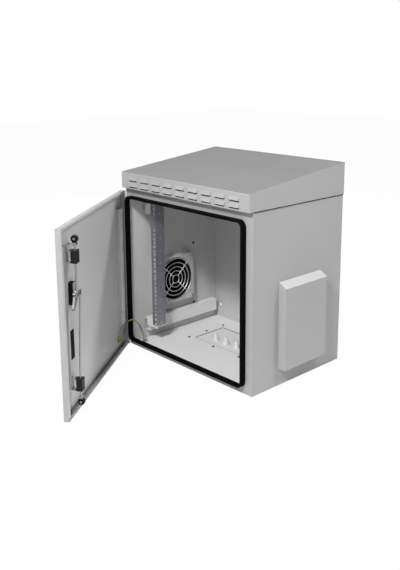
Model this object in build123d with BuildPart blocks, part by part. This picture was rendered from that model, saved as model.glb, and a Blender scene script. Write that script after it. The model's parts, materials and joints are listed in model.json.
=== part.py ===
from build123d import *
import os
from math import cos, hypot, pi, radians, sin, tan

# Outdoor rack cabinet. X runs along the front, Y from the door to the back, Z up.
# The origin is the middle of the base. The door stands part open, as in use.

# Body of welded sheet
body_width = 600
body_depth = 420
body_height = 575
sheet = 1.5
overrun = 4
fit_gap = 0.3
running_gap = 0.05

# Door opening, measured inside the seal
opening_left_margin = 17.5
opening_right_margin = 35
opening_bottom = 28.5
opening_top_margin = 41.5
opening_corner = 14
rim_depth = 12
seal_width = 8.5
seal_foot_gap = 2
seal_bulb = 2.5
rib_inset = 1
rib_height = 3

# Roof hood
roof_lap = 6
roof_overhang = 18
roof_front_rise = 48.5
roof_back_rise = 98
roof_lip = 10
louvre_count = 9
louvre_margin = 30
louvre_spacing = 18
louvre_height = 12
louvre_depth = 5
louvre_skin = 1.2
louvre_slit = 4.5
screen_depth = 4
screen_rise = 41
louvre_rises = (3, 24)
roof_angle_leg = 22
roof_angle_rise = 26
roof_angle_length = 320
roof_strip = 1.5
roof_strip_height = 2.4

# Rain hoods over the side vents
hood_front_margin = 116
hood_back_margin = 107
hood_height = 280
hood_depth = 29
hood_bottom = 56
hood_slope = 16
hood_flange = 16
hood_screw_margin = 12
hood_screw_low = 29
hood_screw_high = 263
screw_radius = 2.5
screw_head_radius = 4.5
screw_head_height = 2.5

# Air slots punched in the side walls
vent_slot_count = 7
vent_slot_pitch = 14
vent_slot_width = 7
vent_slot_height = 88

# Floor cut-out, gland plate and grommets
cutout_side_margin = 122
cutout_front_margin = 197
cutout_back_margin = 79
plate_margin = 27
plate_screw_margin = 14
plate_screw_shares = (-1 / 2, -1 / 6, 1 / 6, 1 / 2)
bead_width = 2.8
bead_height = 0.4
grommet_count = 5
grommet_pitch = 52
grommet_row_share = 37 / 144
grommet_height = 28
grommet_flange_radius = 15
grommet_flange = 2.5
grommet_neck_radius = 11
grommet_tip_radius = 5
grommet_skin = 1.6

# Depth rails and 19-inch rails
depth_rail_reach = 22.5
depth_rail_height = 44
depth_rail_front_margin = 65
depth_rail_back_margin = 20
depth_rail_lower = 36
depth_rail_drop = 97
rack_hole_margin = 67.45
rack_unit = 44.45
rack_hole = 9.5
rack_hole_shares = (0.143, 0.5, 0.857)
rack_edge = 7.6
rack_flange = 24.5
rack_return = 40
rack_sheet = 2
rack_front_margin = 61
rack_bottom = 68
rack_drop = 62.5
rack_side_hole_radius = 3.2
bracket_height = 36
bracket_lower_offset = 20
bracket_upper_offset = -8
bracket_leg = 40
bracket_lap = 8

# Fan
fan_size = 176
fan_corner = 8
fan_depth = 26
fan_bore_radius = 80
fan_ahead = 24.5
fan_z = 205
fan_hole_margin = 10
fan_hole_radius = 2.3
fan_hub_radius = 30
fan_hub_depth = 18
fan_blade_count = 7
fan_blade_sweep = 16
fan_blade_chord = 32
fan_blade_bow = 4
fan_blade_skin = 1.6
fan_blade_gap = 2
fan_strut = 6
fan_strut_depth = 3
fan_shaft_radius = 3
guard_wire = 2.8
guard_ring_count = 5
guard_ring_pitch = 15.4
guard_eye_radius = 5

# Back wall fixing holes
wall_hole_side_margin = 29
wall_hole_low = 53
wall_hole_drop = 55
wall_hole_radius = 5

# Hinges outside the front left corner
hinge_out = 3
hinge_ahead = 3.5
hinge_barrel_radius = 3.8
hinge_pin_radius = 2
hinge_end_margin = 115
hinge_barrel = 24
hinge_leaf = 2
hinge_leaf_depth = 32
hinge_door_leaf = 3
hinge_door_leaf_depth = 17
hinge_stand = 1.5
door_rest_angle = 53

# Door, measured from the hinge axis: along the door, then inwards, then up
door_start = 6
door_side_gap = 6
door_inner = -1.5
door_depth = 16.5
door_low = 2
door_drop = 17.5
door_bend = 2
door_lip = 12
door_lip_top = 8
door_lip_bottom = 11
hinge_flange = 3

# Stiffeners on the door skin
strip_start = 28
strip_width = 35
strip_height = 12
strip_low = 82
strip_drop = 55.5
strip_hole_radius = 3.5
strip_hole_rise = 50
strip_hole_drops = (60, 25)
channel_ahead = 26
channel_width = 47
channel_height = 9
channel_low = 78
channel_drop = 60.5

# Lock
lock_backset = 66
lock_height_share = 360 / 575
escutcheon_width = 36
escutcheon_low_share = 140 / 360
escutcheon_rise = 40
escutcheon_depth = 8
housing_width = 22
housing_height = 64
housing_inner = 5.5
dish_width = 24
dish_low_share = 165 / 360
dish_high_share = 250 / 360
dish_proud = 1
cutout_gap = 1.5
spindle_radius = 6
tongue_length = 50
tongue_width = 11
tongue_clear = 1
tongue_angle = 32
cam_throw = 13
cam_arm_width = 11
cam_plate = 6
cam_pin_radius = 2.5
cam_pin_reach = 7
nut_across = 10
nut_height = 2.5
plug_share = 160 / 360
plug_radius = 8
plug_depth = 6
plug_proud = 0.3
keyway_width = 1.6
keyway_depth = 3

# Swing lever
lever_turn = 58
hub_radius = 13
hub_plate = 3
hub_gap = 0.4
lug_width = 8
lug_length = 12
lever_length_share = 170 / 360
lever_root_radius = 12
lever_tip_radius = 9
lever_depth = 11
lever_tip_depth = 8
lever_slot = 9
lever_pin_radius = 2

# Rods, guides and rollers
rod_radius = 3
rod_inwards = 17
guide_width = 24
guide_length = 36
guide_low = 8
guide_high = 25
guide_lower = 95
guide_drop = 110
guide_follow_share = 1 / 6
guide_sheet = 2
guide_bracket_width = 18
guide_edge = 2
roller_lower = 42
roller_drop = 37.5
roller_radius = 10.5
roller_width = 8
roller_side_gap = 0.4
roller_edge = 1
axle_radius = 3
fork_ear = 2.5
fork_depth = 10
fork_base = 4
fork_clear = 3
eye_plate = 3
eye_wall = 3
eye_lift_gap = 0.8
eye_side_gap = 0.5
rod_straight = 24

# Earth wire, its studs and its route between the two lugs
stud_radius = 3
stud_length = 13
stud_nut_radius = 5.5
stud_nut_height = 4
lug_seat = 2
lug_plate = 1.5
lug_ring_radius = 6.5
lug_barrel_radius = 3
lug_barrel = 11
lug_rise = 16
lug_offset = 10
wire_radius = 2
wire_arc_share = 0.45
door_stud_along = 84
door_stud_height = 42
floor_stud_side_margin = 32
floor_stud_front_margin = 42
wire_points = (
    (-261.6, -287.5, 76),
    (-262, -273, 91),
    (-266, -250, 101),
    (-268, -222, 102),
    (-269, -200, 83),
    (-269, -186, 57),
    (-268, -178, 33),
)

# Working sizes
half_width = body_width / 2
half_depth = body_depth / 2
front = -half_depth
frame_back = front + sheet
floor_top = sheet + sheet
opening_left = -half_width + opening_left_margin
opening_right = half_width - opening_right_margin
opening_top = body_height - opening_top_margin
opening_width = opening_right - opening_left
opening_height = opening_top - opening_bottom
opening_x = (opening_left + opening_right) / 2
opening_z = (opening_bottom + opening_top) / 2
rim_inset = (seal_width - sheet) / 2
hinge_x = -half_width - hinge_out
hinge_y = front - hinge_ahead
hinge_leaf_reach = hinge_ahead - rib_height - fit_gap
hinge_heights = (hinge_end_margin, body_height - hinge_end_margin)
door_end = body_width - door_side_gap + door_start
door_high = body_height - door_drop
door_outer = door_inner - door_depth
skin_inner = door_outer + sheet
seal_front = hinge_y + skin_inner + fit_gap
roof_bottom = body_height - roof_lap
roof_front_top = body_height + roof_front_rise
roof_back_top = body_height + roof_back_rise
roof_front = front - roof_overhang
roof_half = half_width + fit_gap + sheet
roof_back = half_depth + fit_gap + sheet
louvre_pitch = (body_width - 2 * louvre_margin) / louvre_count
louvre_width = louvre_pitch - louvre_spacing
hood_width = body_depth - hood_front_margin - hood_back_margin
hood_centre_y = (hood_front_margin - hood_back_margin) / 2
fan_y = hood_centre_y - fan_ahead
fan_hole_spacing = fan_size - 2 * fan_hole_margin
cutout_width = body_width - 2 * cutout_side_margin
cutout_front = front + cutout_front_margin
cutout_back = half_depth - cutout_back_margin
rack_hole_spacing = body_width - 2 * rack_hole_margin
rack_front = front + rack_front_margin
rack_top = body_height - rack_drop
rack_units = int((rack_top - rack_bottom + fit_gap) / rack_unit)
rack_inner = rack_hole_spacing / 2 - rack_edge
depth_rail_face = half_width - sheet - depth_rail_reach
depth_rail_front = front + depth_rail_front_margin
depth_rail_back = half_depth - depth_rail_back_margin
depth_rail_upper = body_height - depth_rail_drop
bracket_outer = depth_rail_face + bracket_lap
bracket_lower = depth_rail_lower + bracket_lower_offset
bracket_upper = depth_rail_upper + bracket_upper_offset
lock_along = door_end - lock_backset
lock_height = body_height * lock_height_share
escutcheon_low = lock_height * escutcheon_low_share
escutcheon_high = lock_height + escutcheon_rise
dish_low = lock_height * dish_low_share
dish_high = lock_height * dish_high_share
plug_height = lock_height * plug_share
lever_length = lock_height * lever_length_share
escutcheon_face = door_outer - escutcheon_depth
tongue_low = housing_inner + tongue_clear
cam_high = tongue_low + cam_plate
hub_face = escutcheon_face - hub_gap - hub_plate
lever_under = hub_face - hub_gap
channel_start = lock_along - channel_ahead
channel_high = door_high - channel_drop
channel_top = skin_inner + channel_height
strip_high = door_high - strip_drop
strip_holes = [strip_low + strip_hole_rise, *[strip_high - drop for drop in strip_hole_drops]]
strip_top = skin_inner + strip_height
rod_along = lock_along + cam_throw
roller_heights = (roller_lower, door_high - roller_drop)
guide_heights = (guide_lower, roller_heights[1] - guide_drop + guide_follow_share * lock_height)
floor_stud_x = -half_width + floor_stud_side_margin
floor_stud_y = front + floor_stud_front_margin

door_plane = Plane(
    origin=(hinge_x, hinge_y, 0),
    x_dir=(cos(radians(door_rest_angle)), -sin(radians(door_rest_angle)), 0),
    z_dir=(0, 0, 1),
)


def on_door(plane):
    """Carries a plane given in the door's own axes to where the door stands."""
    return Plane(door_plane.location * plane.location)


def door_face(inwards):
    """Plane along the door skin, seen from outside, at a distance inwards of the hinge axis."""
    return on_door(Plane.XZ.offset(-inwards))


def block(along, across, up, mode=Mode.ADD):
    """Plate or cut between two limits on each axis of the part's own plane."""
    limits = (along, across, up)
    with Locations(tuple((low + high) / 2 for low, high in limits)):
        Box(*(high - low for low, high in limits), mode=mode)


def opening_outline(grow):
    """Rounded outline of the door opening, grown outwards from the seal's inner edge."""
    with Locations((opening_x, opening_z)):
        RectangleRounded(opening_width + 2 * grow, opening_height + 2 * grow, opening_corner + grow)


def folded(points, thickness, side):
    """Face of a folded sheet whose outer line runs through the points."""
    with BuildLine() as outline:
        Polyline(*points)
        offset(amount=thickness, side=side)
    make_face(outline.edges())


def save(piece, name):
    piece.label = name
    export_step(piece, f"parts/{name}.step")


os.makedirs("parts", exist_ok=True)

# Side walls with punched air slots and the holes of the hood screws
hood_screw_places = [
    (hood_centre_y + side * (hood_width / 2 - hood_screw_margin), hood_bottom + rise)
    for side in (-1, 1)
    for rise in (hood_screw_low, hood_screw_high)
]
for name, sign in (("left", -1), ("right", 1)):
    with BuildPart() as wall:
        inside = sign * (half_width - sheet)
        with BuildSketch(Plane.YZ.offset(inside)):
            with Locations(((frame_back + half_depth) / 2, body_height / 2)):
                Rectangle(half_depth - frame_back, body_height)
            with Locations((fan_y, fan_z)):
                with GridLocations(vent_slot_pitch, 0, vent_slot_count, 1):
                    SlotOverall(vent_slot_height, vent_slot_width, rotation=90, mode=Mode.SUBTRACT)
            with Locations(*hood_screw_places):
                Circle(screw_radius + fit_gap, mode=Mode.SUBTRACT)
        extrude(amount=sign * sheet)
    save(wall.part, f"{name}_wall")

# Back wall with its four fixing holes
wall_hole_spacing_x = body_width - 2 * wall_hole_side_margin
wall_hole_spacing_z = body_height - wall_hole_drop - wall_hole_low
wall_hole_z = wall_hole_low + wall_hole_spacing_z / 2
with BuildPart() as back_wall:
    with BuildSketch(Plane.XZ.offset(-half_depth)):
        with Locations((0, body_height / 2)):
            Rectangle(body_width - 2 * sheet, body_height)
        with Locations((0, wall_hole_z)):
            with GridLocations(wall_hole_spacing_x, wall_hole_spacing_z, 2, 2):
                Circle(wall_hole_radius, mode=Mode.SUBTRACT)
    extrude(amount=sheet)
save(back_wall.part, "back_wall")

# Floor panel round its cut-out, with the gland plate screwed on from inside
cutout_y = (cutout_front + cutout_back) / 2
cutout_depth = cutout_back - cutout_front
grommet_y = cutout_front + grommet_row_share * cutout_depth
screw_span_x = cutout_width + 2 * plate_screw_margin
screw_span_y = cutout_depth + 2 * plate_screw_margin
plate_screw_places = [
    (share * screw_span_x, cutout_y + side * screw_span_y / 2)
    for share in plate_screw_shares
    for side in (-1, 1)
]
plate_screw_places += [(side * screw_span_x / 2, cutout_y) for side in (-1, 1)]
with BuildPart() as floor_panel:
    with BuildSketch(Plane.XY.offset(sheet)):
        Rectangle(body_width - 2 * sheet, body_depth - 2 * sheet)
        with Locations((0, cutout_y)):
            Rectangle(cutout_width, cutout_depth, mode=Mode.SUBTRACT)
        with Locations(*plate_screw_places):
            Circle(screw_radius + fit_gap, mode=Mode.SUBTRACT)
        with Locations((floor_stud_x, floor_stud_y)):
            Circle(stud_radius + running_gap, mode=Mode.SUBTRACT)
    extrude(amount=sheet)
save(floor_panel.part, "floor_panel")

grommet_places = [
    ((index - (grommet_count - 1) / 2) * grommet_pitch, grommet_y)
    for index in range(grommet_count)
]
with BuildPart() as gland_plate:
    with BuildSketch():
        with Locations((0, cutout_y)):
            Rectangle(cutout_width + 2 * plate_margin, cutout_depth + 2 * plate_margin)
        with Locations(*plate_screw_places):
            Circle(screw_radius + running_gap, mode=Mode.SUBTRACT)
        with Locations(*grommet_places):
            Circle(grommet_neck_radius + running_gap, mode=Mode.SUBTRACT)
    extrude(amount=sheet)
save(gland_plate.part, "gland_plate")

with BuildPart() as plate_bead:
    with BuildSketch(Plane.XY.offset(sheet)):
        with Locations((0, cutout_y)):
            Rectangle(cutout_width - 2 * running_gap, cutout_depth - 2 * running_gap)
            Rectangle(cutout_width - 2 * bead_width, cutout_depth - 2 * bead_width, mode=Mode.SUBTRACT)
    extrude(amount=bead_height)
save(plate_bead.part, "plate_bead")

with BuildPart() as plate_screws:
    with Locations(*[(x, y, floor_top) for x, y in plate_screw_places]):
        Cylinder(screw_head_radius, screw_head_height, align=(Align.CENTER, Align.CENTER, Align.MIN))
        Cylinder(screw_radius, floor_top - fit_gap, align=(Align.CENTER, Align.CENTER, Align.MAX))
save(plate_screws.part, "plate_screws")

# Cone grommets: hollow, closed at the tip, with a flange on the plate
with BuildPart() as grommets:
    for x, y in grommet_places:
        with BuildSketch(Plane.XZ.offset(-y)):
            with BuildLine():
                Polyline(
                    (x + grommet_neck_radius - grommet_skin, fit_gap),
                    (x + grommet_neck_radius, fit_gap),
                    (x + grommet_neck_radius, sheet),
                    (x + grommet_flange_radius, sheet),
                    (x + grommet_flange_radius, sheet + grommet_flange),
                    (x + grommet_neck_radius, sheet + grommet_flange),
                    (x + grommet_tip_radius, sheet + grommet_height),
                    (x, sheet + grommet_height),
                    (x, sheet + grommet_height - grommet_skin),
                    (x + grommet_tip_radius - grommet_skin, sheet + grommet_height - grommet_skin),
                    (x + grommet_neck_radius - grommet_skin, sheet),
                    close=True,
                )
            make_face()
        revolve(axis=Axis((x, y, 0), (0, 0, 1)))
save(grommets.part, "grommets")

# Top panel, and the two angles that carry the roof
with BuildPart() as top_panel:
    block(
        (-half_width + sheet, half_width - sheet),
        (frame_back, half_depth - sheet),
        (body_height - sheet, body_height),
    )
    with BuildSketch(Plane.XY.offset(body_height)):
        with GridLocations(vent_slot_height + vent_slot_pitch, vent_slot_pitch, 3, vent_slot_count):
            SlotOverall(vent_slot_height, vent_slot_width)
    extrude(amount=-sheet, mode=Mode.SUBTRACT)
save(top_panel.part, "top_panel")

for name, sign in (("left", -1), ("right", 1)):
    with BuildPart() as roof_angle:
        with BuildSketch(Plane.XZ.offset(-roof_angle_length / 2)):
            outer = half_width + fit_gap
            points = [
                (sign * (outer - roof_angle_leg), body_height),
                (sign * outer, body_height),
                (sign * outer, body_height + roof_angle_rise),
            ]
            folded(points, sheet, Side.LEFT if sign > 0 else Side.RIGHT)
        extrude(amount=roof_angle_length)
    save(roof_angle.part, f"{name}_roof_angle")

    # Foam strip under the roof's skirt
    with BuildPart() as roof_strip_piece:
        strip_faces = sorted((sign * half_width, sign * (half_width + roof_strip)))
        strip_top_edge = roof_bottom - running_gap
        block(strip_faces, (front, half_depth), (strip_top_edge - roof_strip_height, strip_top_edge))
    save(roof_strip_piece.part, f"{name}_roof_strip")

# Front frame: flange plate with a rim standing out round the opening
with BuildPart() as front_frame:
    with BuildSketch(Plane.XZ.offset(half_depth)):
        with Locations((0, body_height / 2)):
            Rectangle(body_width, body_height)
    extrude(amount=-sheet)
    with BuildSketch(Plane.XZ.offset(half_depth)):
        opening_outline(rim_inset + sheet)
    extrude(amount=rim_depth)
    with BuildSketch(Plane.XZ.offset(half_depth + rim_depth)):
        opening_outline(rim_inset)
    extrude(amount=-rim_depth - sheet, mode=Mode.SUBTRACT)
    rib_start = -half_width + rib_inset
    block((rib_start, rib_start + sheet), (front - rib_height, front), (door_low, roof_bottom))
save(front_frame.part, "front_frame")

# Push-on seal over the rim
with BuildPart() as door_seal:
    with BuildSketch(Plane.XZ.offset(-seal_front)):
        opening_outline(seal_width)
        with Locations((opening_x, opening_z)):
            RectangleRounded(opening_width, opening_height, opening_corner, mode=Mode.SUBTRACT)
    extrude(amount=-(front - seal_front - seal_foot_gap))
    fillet(door_seal.faces().sort_by(Axis.Y)[0].edges(), seal_bulb)
    with BuildSketch(Plane.XZ.offset(half_depth + rim_depth + running_gap)):
        opening_outline(rim_inset + sheet + running_gap)
        with Locations((opening_x, opening_z)):
            RectangleRounded(
                opening_width + 2 * (rim_inset - running_gap),
                opening_height + 2 * (rim_inset - running_gap),
                opening_corner + rim_inset - running_gap,
                mode=Mode.SUBTRACT,
            )
    extrude(amount=-rim_depth, mode=Mode.SUBTRACT)
save(door_seal.part, "door_seal")

# Sloping roof hood with two rows of pressed louvres in its fascia
roof_outline = [
    (roof_front, roof_bottom),
    (roof_front, roof_front_top),
    (roof_back, roof_back_top),
    (roof_back, roof_bottom),
]
roof_slope = (roof_back_top - roof_front_top) / (roof_back - roof_front)
roof_drop = sheet * hypot(1, roof_slope)
louvre_rows = [body_height + rise for rise in louvre_rises]
louvre_places = [
    ((index - (louvre_count - 1) / 2) * louvre_pitch, height)
    for index in range(louvre_count)
    for height in louvre_rows
]
with BuildPart() as roof_hood:
    with BuildSketch(Plane.YZ.offset(-roof_half)):
        Polygon(*roof_outline, align=None)
    extrude(amount=2 * roof_half)
    fillet(roof_hood.edges().filter_by(Axis.X).group_by(Axis.Z)[-2], door_bend)
    with BuildSketch(Plane.YZ.offset(-roof_half + sheet)):
        Polygon(
            (roof_front + sheet, roof_bottom + sheet),
            (roof_front + sheet, roof_front_top + roof_slope * sheet - roof_drop),
            (roof_back - sheet, roof_back_top - roof_slope * sheet - roof_drop),
            (roof_back - sheet, roof_bottom + sheet),
            align=None,
        )
    extrude(amount=2 * (roof_half - sheet), mode=Mode.SUBTRACT)
    block(
        (-roof_half + sheet, roof_half - sheet),
        (roof_front + roof_lip, roof_back - sheet),
        (roof_bottom - overrun, roof_bottom + sheet + overrun),
        mode=Mode.SUBTRACT,
    )
    for x, z in louvre_places:
        with BuildSketch(Plane.YZ.offset(x - louvre_width / 2)):
            Polygon(
                (roof_front, z),
                (roof_front - louvre_depth, z),
                (roof_front, z + louvre_height),
                align=None,
            )
        extrude(amount=louvre_width)
        with BuildSketch(Plane.YZ.offset(x - louvre_width / 2 + louvre_skin)):
            cut_top = z + louvre_height - louvre_skin * louvre_height / louvre_depth
            Polygon(
                (roof_front + sheet + overrun, z - louvre_slit),
                (roof_front - louvre_depth + louvre_skin, z - louvre_slit),
                (roof_front - louvre_depth + louvre_skin, z),
                (roof_front, cut_top),
                (roof_front + sheet + overrun, cut_top),
                align=None,
            )
        extrude(amount=louvre_width - 2 * louvre_skin, mode=Mode.SUBTRACT)
save(roof_hood.part, "roof_hood")

# Foam insect screen behind the louvres
screen_half = louvre_count * louvre_pitch / 2
screen_front = roof_front + sheet
with BuildPart() as louvre_screen:
    block(
        (-screen_half, screen_half),
        (screen_front, screen_front + screen_depth),
        (roof_bottom + sheet, body_height + screen_rise),
    )
save(louvre_screen.part, "louvre_screen")

# Rain hoods, open below, with inner flanges screwed to the walls
for name, sign in (("left", -1), ("right", 1)):
    near = sign * half_width
    far = sign * (half_width + hood_depth)
    hood_start = hood_centre_y - hood_width / 2
    hood_top = hood_bottom + hood_height
    with BuildPart() as rain_hood:
        with BuildSketch(Plane.XZ.offset(-hood_start)):
            Polygon(
                (near, hood_bottom),
                (far, hood_bottom),
                (far, hood_top - hood_slope),
                (near, hood_top),
                align=None,
            )
        extrude(amount=-hood_width)
        with BuildSketch(Plane.XZ.offset(-hood_start - sheet)):
            Polygon(
                (near + sign * sheet, hood_bottom - overrun),
                (far - sign * sheet, hood_bottom - overrun),
                (far - sign * sheet, hood_top - hood_slope - sheet),
                (near + sign * sheet, hood_top - sheet - hood_slope * sheet / hood_depth),
                align=None,
            )
        extrude(amount=-(hood_width - 2 * sheet), mode=Mode.SUBTRACT)
        with BuildSketch(Plane.YZ.offset(near)):
            with Locations((hood_centre_y, (hood_bottom + hood_top) / 2 - hood_flange)):
                Rectangle(hood_width - 2 * hood_flange, hood_height)
            with Locations(*hood_screw_places):
                Circle(screw_radius + running_gap)
        extrude(amount=sign * sheet, mode=Mode.SUBTRACT)
    save(rain_hood.part, f"{name}_rain_hood")
    with BuildPart() as hood_screws:
        inside = sign * (half_width - sheet)
        with BuildSketch(Plane.YZ.offset(inside)):
            with Locations(*hood_screw_places):
                Circle(screw_head_radius)
        extrude(amount=-sign * screw_head_height)
        with BuildSketch(Plane.YZ.offset(inside)):
            with Locations(*hood_screw_places):
                Circle(screw_radius)
        extrude(amount=sign * (sheet + sheet))
    save(hood_screws.part, f"{name}_hood_screws")

# Depth rails, 19-inch rails and the brackets between them
rack_hole_heights = [
    rack_bottom + (unit + share) * rack_unit for unit in range(rack_units) for share in rack_hole_shares
]
for name, sign in (("left", -1), ("right", 1)):
    face = sign * depth_rail_face
    wall_face = sign * (half_width - sheet)
    fold_side = Side.RIGHT if sign < 0 else Side.LEFT
    for level, low in (("lower", depth_rail_lower), ("upper", depth_rail_upper)):
        high = low + depth_rail_height
        with BuildPart() as depth_rail:
            with BuildSketch(Plane.XZ.offset(-depth_rail_front)):
                points = [(wall_face, high), (face, high), (face, low), (wall_face, low)]
                folded(points, sheet, fold_side)
            extrude(amount=-(depth_rail_back - depth_rail_front))
        save(depth_rail.part, f"{name}_{level}_depth_rail")

    inner = sign * rack_inner
    outer = sign * (rack_inner + rack_flange)
    with BuildPart() as rack_rail:
        with BuildSketch(Plane.XY.offset(rack_bottom)):
            points = [(outer, rack_front), (inner, rack_front), (inner, rack_front + rack_return)]
            folded(points, rack_sheet, Side.LEFT if sign < 0 else Side.RIGHT)
        extrude(amount=rack_top - rack_bottom)
        with BuildSketch(Plane.XZ.offset(-rack_front)):
            with Locations(*[(sign * rack_hole_spacing / 2, height) for height in rack_hole_heights]):
                Rectangle(rack_hole, rack_hole)
        extrude(amount=-rack_sheet, mode=Mode.SUBTRACT)
        with BuildSketch(Plane.YZ.offset(inner)):
            side_hole_y = rack_front + (rack_sheet + rack_return) / 2
            with Locations(*[(side_hole_y, height) for height in rack_hole_heights[::3]]):
                Circle(rack_side_hole_radius)
        extrude(amount=sign * rack_sheet, mode=Mode.SUBTRACT)
    save(rack_rail.part, f"{name}_rack_rail")

    bracket_front = rack_front + rack_sheet
    for level, low in (("lower", bracket_lower), ("upper", bracket_upper)):
        with BuildPart() as rail_bracket:
            with BuildSketch(Plane.XZ.offset(-bracket_front)):
                bracket_inner = rack_inner + rack_sheet
                with Locations((sign * (bracket_inner + bracket_outer) / 2, low + bracket_height / 2)):
                    Rectangle(bracket_outer - bracket_inner, bracket_height)
            extrude(amount=-rack_sheet)
            with BuildSketch(Plane.YZ.offset(face)):
                with Locations((bracket_front + bracket_leg / 2, low + bracket_height / 2)):
                    Rectangle(bracket_leg, bracket_height)
            extrude(amount=-sign * rack_sheet)
        save(rail_bracket.part, f"{name}_{level}_rail_bracket")

# Fan frame with four struts to the bearing, all inside the left wall
wall_plane = Plane(origin=(-half_width + sheet, fan_y, fan_z), x_dir=(0, 1, 0), z_dir=(1, 0, 0))
with BuildPart() as fan_frame:
    with BuildSketch(wall_plane):
        RectangleRounded(fan_size, fan_size, fan_corner)
        Circle(fan_bore_radius, mode=Mode.SUBTRACT)
        with GridLocations(fan_hole_spacing, fan_hole_spacing, 2, 2):
            Circle(fan_hole_radius, mode=Mode.SUBTRACT)
    extrude(amount=fan_depth)
    with BuildSketch(wall_plane):
        Circle(fan_hub_radius)
        with PolarLocations(0, 4, start_angle=45):
            with Locations((fan_bore_radius / 2, 0)):
                Rectangle(fan_bore_radius, fan_strut)
        Circle(fan_shaft_radius + running_gap, mode=Mode.SUBTRACT)
    extrude(amount=fan_strut_depth)
save(fan_frame.part, "fan_frame")

# Rotor: hub on a shaft with swept, bowed blades
blade_radius = fan_bore_radius - fan_blade_gap
rotor_plane = wall_plane.offset(fan_strut_depth + fit_gap)
with BuildPart() as fan_rotor:
    with BuildSketch(rotor_plane):
        Circle(fan_hub_radius)
    extrude(amount=fan_hub_depth)
    fillet(fan_rotor.faces().sort_by(Axis.X)[-1].edges(), fan_blade_skin)
    with BuildSketch(rotor_plane):
        Circle(fan_shaft_radius)
    extrude(amount=-fan_strut_depth)
    for index in range(fan_blade_count):
        turn = radians(360 / fan_blade_count * index)
        outwards = (0, cos(turn), sin(turn))
        start = rotor_plane.origin + Vector(*outwards) * (fan_hub_radius / 2)
        blade_plane = Plane(origin=start, x_dir=(0, -sin(turn), cos(turn)), z_dir=outwards)
        with BuildSketch(blade_plane):
            half_chord = fan_blade_chord / 2
            with BuildLine():
                ThreePointArc(
                    (-half_chord, fan_blade_skin),
                    (fan_blade_bow, fan_blade_sweep / 2),
                    (half_chord, fan_blade_sweep),
                )
                offset(amount=fan_blade_skin, side=Side.RIGHT)
            make_face()
        extrude(amount=blade_radius - fan_hub_radius / 2)
    with BuildSketch(rotor_plane.offset(-fan_strut_depth)):
        Circle(blade_radius)
    extrude(amount=fan_depth, mode=Mode.INTERSECT)
save(fan_rotor.part, "fan_rotor")

# Wire guard: rings on four arms that end in screw eyes
guard_plane = wall_plane.offset(fan_depth)
with BuildPart() as fan_guard:
    with BuildSketch(guard_plane):
        for index in range(guard_ring_count):
            radius = (index + 1) * guard_ring_pitch
            Circle(radius)
            Circle(radius - guard_wire, mode=Mode.SUBTRACT)
        with PolarLocations(0, 4, start_angle=45):
            arm_end = fan_hole_spacing / 2 * hypot(1, 1)
            with Locations(((guard_ring_pitch + arm_end) / 2, 0)):
                Rectangle(arm_end - guard_ring_pitch + guard_wire, guard_wire)
        with GridLocations(fan_hole_spacing, fan_hole_spacing, 2, 2):
            Circle(guard_eye_radius)
            Circle(fan_hole_radius, mode=Mode.SUBTRACT)
    extrude(amount=guard_wire)
save(fan_guard.part, "fan_guard")

with BuildPart() as fan_screws:
    with BuildSketch(guard_plane.offset(guard_wire)):
        with GridLocations(fan_hole_spacing, fan_hole_spacing, 2, 2):
            Circle(screw_head_radius)
    extrude(amount=screw_head_height)
    with BuildSketch(guard_plane.offset(guard_wire)):
        with GridLocations(fan_hole_spacing, fan_hole_spacing, 2, 2):
            Circle(fan_hole_radius - running_gap)
    extrude(amount=-(guard_wire + fan_depth - fit_gap))
save(fan_screws.part, "fan_screws")

# Hinges: a leaf with the pin on the left wall, and a leaf that lifts off it on the door
for level, height in zip(("lower", "upper"), hinge_heights):
    with BuildPart() as body_leaf:
        with BuildSketch(Plane.XY.offset(height - hinge_barrel)):
            with Locations((hinge_x, hinge_y)):
                Circle(hinge_barrel_radius)
        extrude(amount=hinge_barrel)
        leaf_outer = -half_width - hinge_leaf
        block(
            (leaf_outer, -half_width),
            (hinge_y, hinge_y + hinge_leaf_depth),
            (height - hinge_barrel, height),
        )
        with BuildSketch(Plane.XY.offset(height)):
            with Locations((hinge_x, hinge_y)):
                Circle(hinge_pin_radius)
        extrude(amount=hinge_barrel + hinge_stand)
    save(body_leaf.part, f"{level}_hinge_pin_leaf")

    with BuildPart(door_plane) as door_leaf:
        with Locations((0, 0, height + fit_gap)):
            Cylinder(hinge_barrel_radius, hinge_barrel, align=(Align.CENTER, Align.CENTER, Align.MIN))
        block(
            (door_start - hinge_door_leaf, door_start),
            (-hinge_door_leaf_depth, hinge_leaf_reach),
            (height + fit_gap, height + fit_gap + hinge_barrel),
        )
        with Locations((0, 0, height)):
            Cylinder(
                hinge_pin_radius + running_gap,
                hinge_barrel + overrun,
                align=(Align.CENTER, Align.CENTER, Align.MIN),
                mode=Mode.SUBTRACT,
            )
    save(door_leaf.part, f"{level}_hinge_door_leaf")

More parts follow.
